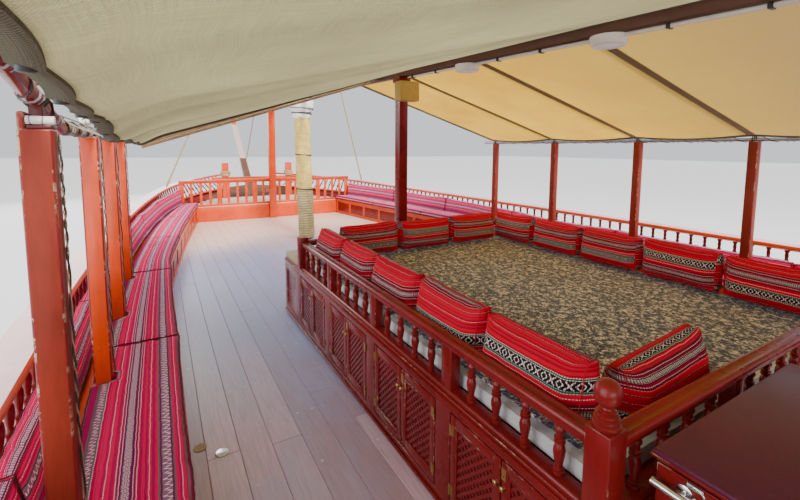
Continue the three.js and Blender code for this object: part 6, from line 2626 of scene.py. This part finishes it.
YARD_TILT = math.radians(22)
YARD_CENTRE = mast_at(6.6) + Vector((0, -0.43, 0))
YARD_AHEAD = Vector((math.cos(YARD_TILT), 0, -math.sin(YARD_TILT)))
YARD_UP = Vector((math.sin(YARD_TILT), 0, math.cos(YARD_TILT)))


def yard_point(s, down=0.0, side=0.0):
    """A place along the yard from its middle, forward and down, and below it or beside it"""
    return YARD_CENTRE + s * YARD_AHEAD - down * YARD_UP + Vector((0, side, 0))


def round_spar(stops, sides=20):
    """A spar through stops of place along the yard and radius"""
    return loft("spar", [circle(yard_point(s), r * YARD_UP, (0, r, 0), sides + 1)[:-1] for s, r in stops])


# The rolled sail: place along the yard from its middle, and radius
ROLL = (
    (-6.1, 0.055), (-4.6, 0.115), (-2.6, 0.140), (-0.6, 0.150), (1.5, 0.145), (3.5, 0.130), (5.0, 0.105),
    (5.75, 0.05),
)


class DHOW_OT_yard(bpy.types.Operator):
    """Lateen yard of two lashed spars with the furled sail tied under it"""

    bl_idname = "dhow.yard"
    bl_label = "Yard and sail"

    def execute(self, context):
        fore = round_spar(
            [(-0.7, 0.094), (0.7, 0.094), (3.0, 0.083), (5.0, 0.070), (5.97, 0.061), (6.0, 0.052)]
        )
        aft = round_spar(
            [(-6.7, 0.038), (-6.66, 0.046), (-4.6, 0.064), (-2.0, 0.083), (0.0, 0.093), (0.69, 0.094)]
        )
        parrel = moved(turn([(0.045, 0.0), (0.045, 0.33)], 20), at(*YARD_CENTRE) @ TO_PORT)
        spars = paint_over(smooth(join([fore, aft, parrel]), 50), mast_wood())
        settle(spars, "lateen_yard", "bare_wood", "yard", body="yard")
        lashings = []
        for middle in (-0.6, -0.3, 0.0, 0.3, 0.6):
            for k in range(-3, 4):
                ring = circle(yard_point(middle + 0.014 * k), 0.101 * YARD_UP, (0, 0.101, 0), 22)
                lashings.append(tube("lashing", ring, 0.0065, 6))
        settle(paint_over(join(lashings), rope_lay()), "yard_lashings", "rope", body="yard")
        xs, rs = zip(*ROLL)
        rings = []
        for s in spread(5.75, -6.1, 240):
            r = float(np.interp(s, xs, rs))
            tie = abs(math.sin(math.pi * (s + 0.1) / 0.74))
            squeeze = 0.82 + 0.18 * min(1.0, tie * 2.2)
            ring = []
            for j in range(40):
                a = (j + 0.5) * math.tau / 40
                fold = 0.10 * abs(math.sin(3.5 * a + 1.3 * math.sin(s * 1.7)))
                fold += 0.05 * noise.noise(Vector((s * 3, a * 2, 1.5)))
                skin = r * squeeze * (1 - fold * 0.9)
                u, v = math.cos(a) * skin * 0.86, math.sin(a) * skin
                ring.append(tuple(yard_point(s, 0.108 + r * 0.86 - u, v)))
            rings.append(ring)
        roll = paint_over(smooth(loft("sail", rings), 60), sail_cloth())
        settle(roll, "rolled_sail", "canvas", "furled_sail", body="yard")
        ties = []
        s = 5.45
        while s > -6.0:
            r = float(np.interp(s, xs, rs))
            high, low = -0.105, 0.108 + r * 1.66
            for k in range(3):
                middle = yard_point(s + 0.012 * k, (high + low) / 2)
                ring = circle(middle, (low - high) / 2 * YARD_UP, (0, 0.90 * r + 0.01, 0), 30)
                ties.append(tube("gasket", ring, 0.0055, 6))
            s -= 0.74
        settle(paint_over(join(ties), rope_lay()), "sail_gaskets", "rope", body="yard")
        return {"FINISHED"}


def laid_rope(points, radius, strands=3, pitch=0.12):
    """A rope of laid strands along a straight run"""
    a, b = Vector(points[0]), Vector(points[-1])
    ahead = (b - a).normalized()
    side = ahead.cross(Vector((0.2, 0.9, 0.1))).normalized()
    up = ahead.cross(side)
    steps = max(8, int((b - a).length / pitch * 7))
    made = []
    for k in range(strands):
        line = []
        for i in range(steps + 1):
            turn_ = math.tau * (k / strands + (b - a).length * i / steps / pitch)
            off = radius * 0.5 * (math.cos(turn_) * side + math.sin(turn_) * up)
            line.append(tuple(a.lerp(b, i / steps) + off))
        made.append(tube("strand", line, radius * 0.56, 6))
    return join(made)


class DHOW_OT_stays(bpy.types.Operator):
    """Shrouds, forestay and halyard, taut, with seizings and a cleat"""

    bl_idname = "dhow.stays"
    bl_label = "Stays"

    def execute(self, context):
        for name, side in SIDES:
            top = mast_at(6.0) + Vector((0.02, side * 0.096, 0))
            foot = Vector((4.45, side * 2.19, DECK + 0.836))
            rope = [laid_rope([top, foot], 0.016)]
            ahead = (foot - top).normalized()
            for k in range(6):
                start = foot - ahead * (0.05 + 0.024 * k)
                rope.append(tube("seizing", [start, start + ahead * 0.018], 0.021, 10))
            settle(paint_over(join(rope), rope_lay()), f"shroud_rope_{name}", "rope", f"shroud_{name}")
        top = mast_at(6.25) + Vector((0.096, 0, 0))
        rope = laid_rope([top, Vector((8.06, 0, DECK + 1.24))], 0.015)
        settle(paint_over(rope, rope_lay()), "forestay_rope", "rope", "forestay")
        falls = []
        for y in (-0.045, 0.045):
            ends = [mast_at(7.30) + Vector((0.075, y, 0)), mast_at(2.75) + Vector((0.125, y, 0))]
            falls.append(laid_rope(ends, 0.009))
        settle(paint_over(join(falls), rope_lay()), "halyard_falls", "rope")
        cleat = timbers([block(-0.02, 0.03, -0.10, 0.10, -0.02, 0.02)])
        moved(cleat, at(*(mast_at(2.72) + Vector((0.112, 0, 0)))))
        settle(paint_over(ease(cleat, 0.010, 3), oiled_wood()), "halyard_cleat", "oiled_wood")
        return {"FINISHED"}


GROUPS = (DhowColours, DhowSizes)
PIECES = (
    DHOW_OT_stage,
    DHOW_OT_hull,
    DHOW_OT_decks,
    DHOW_OT_rails,
    DHOW_OT_bow,
    DHOW_OT_posts,
    DHOW_OT_lights,
    DHOW_OT_mast,
    DHOW_OT_awning,
    DHOW_OT_benches,
    DHOW_OT_seats,
    DHOW_OT_platform,
    DHOW_OT_doors,
    DHOW_OT_bolsters,
    DHOW_OT_counter,
    DHOW_OT_helm,
    DHOW_OT_stern_gear,
    DHOW_OT_yard,
    DHOW_OT_stays,
)


class DHOW_PT_panel(bpy.types.Panel):
    """The boat's pieces, each with its button"""

    bl_idname = "DHOW_PT_panel"
    bl_label = "Dhow"
    bl_space_type = "VIEW_3D"
    bl_region_type = "UI"
    bl_category = "Dhow"

    def draw(self, context):
        for operator in PIECES:
            self.layout.operator(operator.bl_idname)
        for group in (context.scene.dhow_colours, context.scene.dhow_sizes):
            column = self.layout.column()
            for word in type(group).__annotations__:
                column.prop(group, word)


def register():
    for kind in GROUPS + PIECES + (DHOW_PT_panel,):
        bpy.utils.register_class(kind)
    bpy.types.Scene.dhow_colours = bpy.props.PointerProperty(type=DhowColours)
    bpy.types.Scene.dhow_sizes = bpy.props.PointerProperty(type=DhowSizes)


def unregister():
    del bpy.types.Scene.dhow_sizes
    del bpy.types.Scene.dhow_colours
    for kind in reversed(GROUPS + PIECES + (DHOW_PT_panel,)):
        bpy.utils.unregister_class(kind)


def main():
    register()
    for operator in PIECES:
        name = operator.bl_idname.split(".")[1]
        if getattr(bpy.ops.dhow, name)() != {"FINISHED"}:
            raise RuntimeError(f"{name} did not finish")


if __name__ == "__main__":
    main()
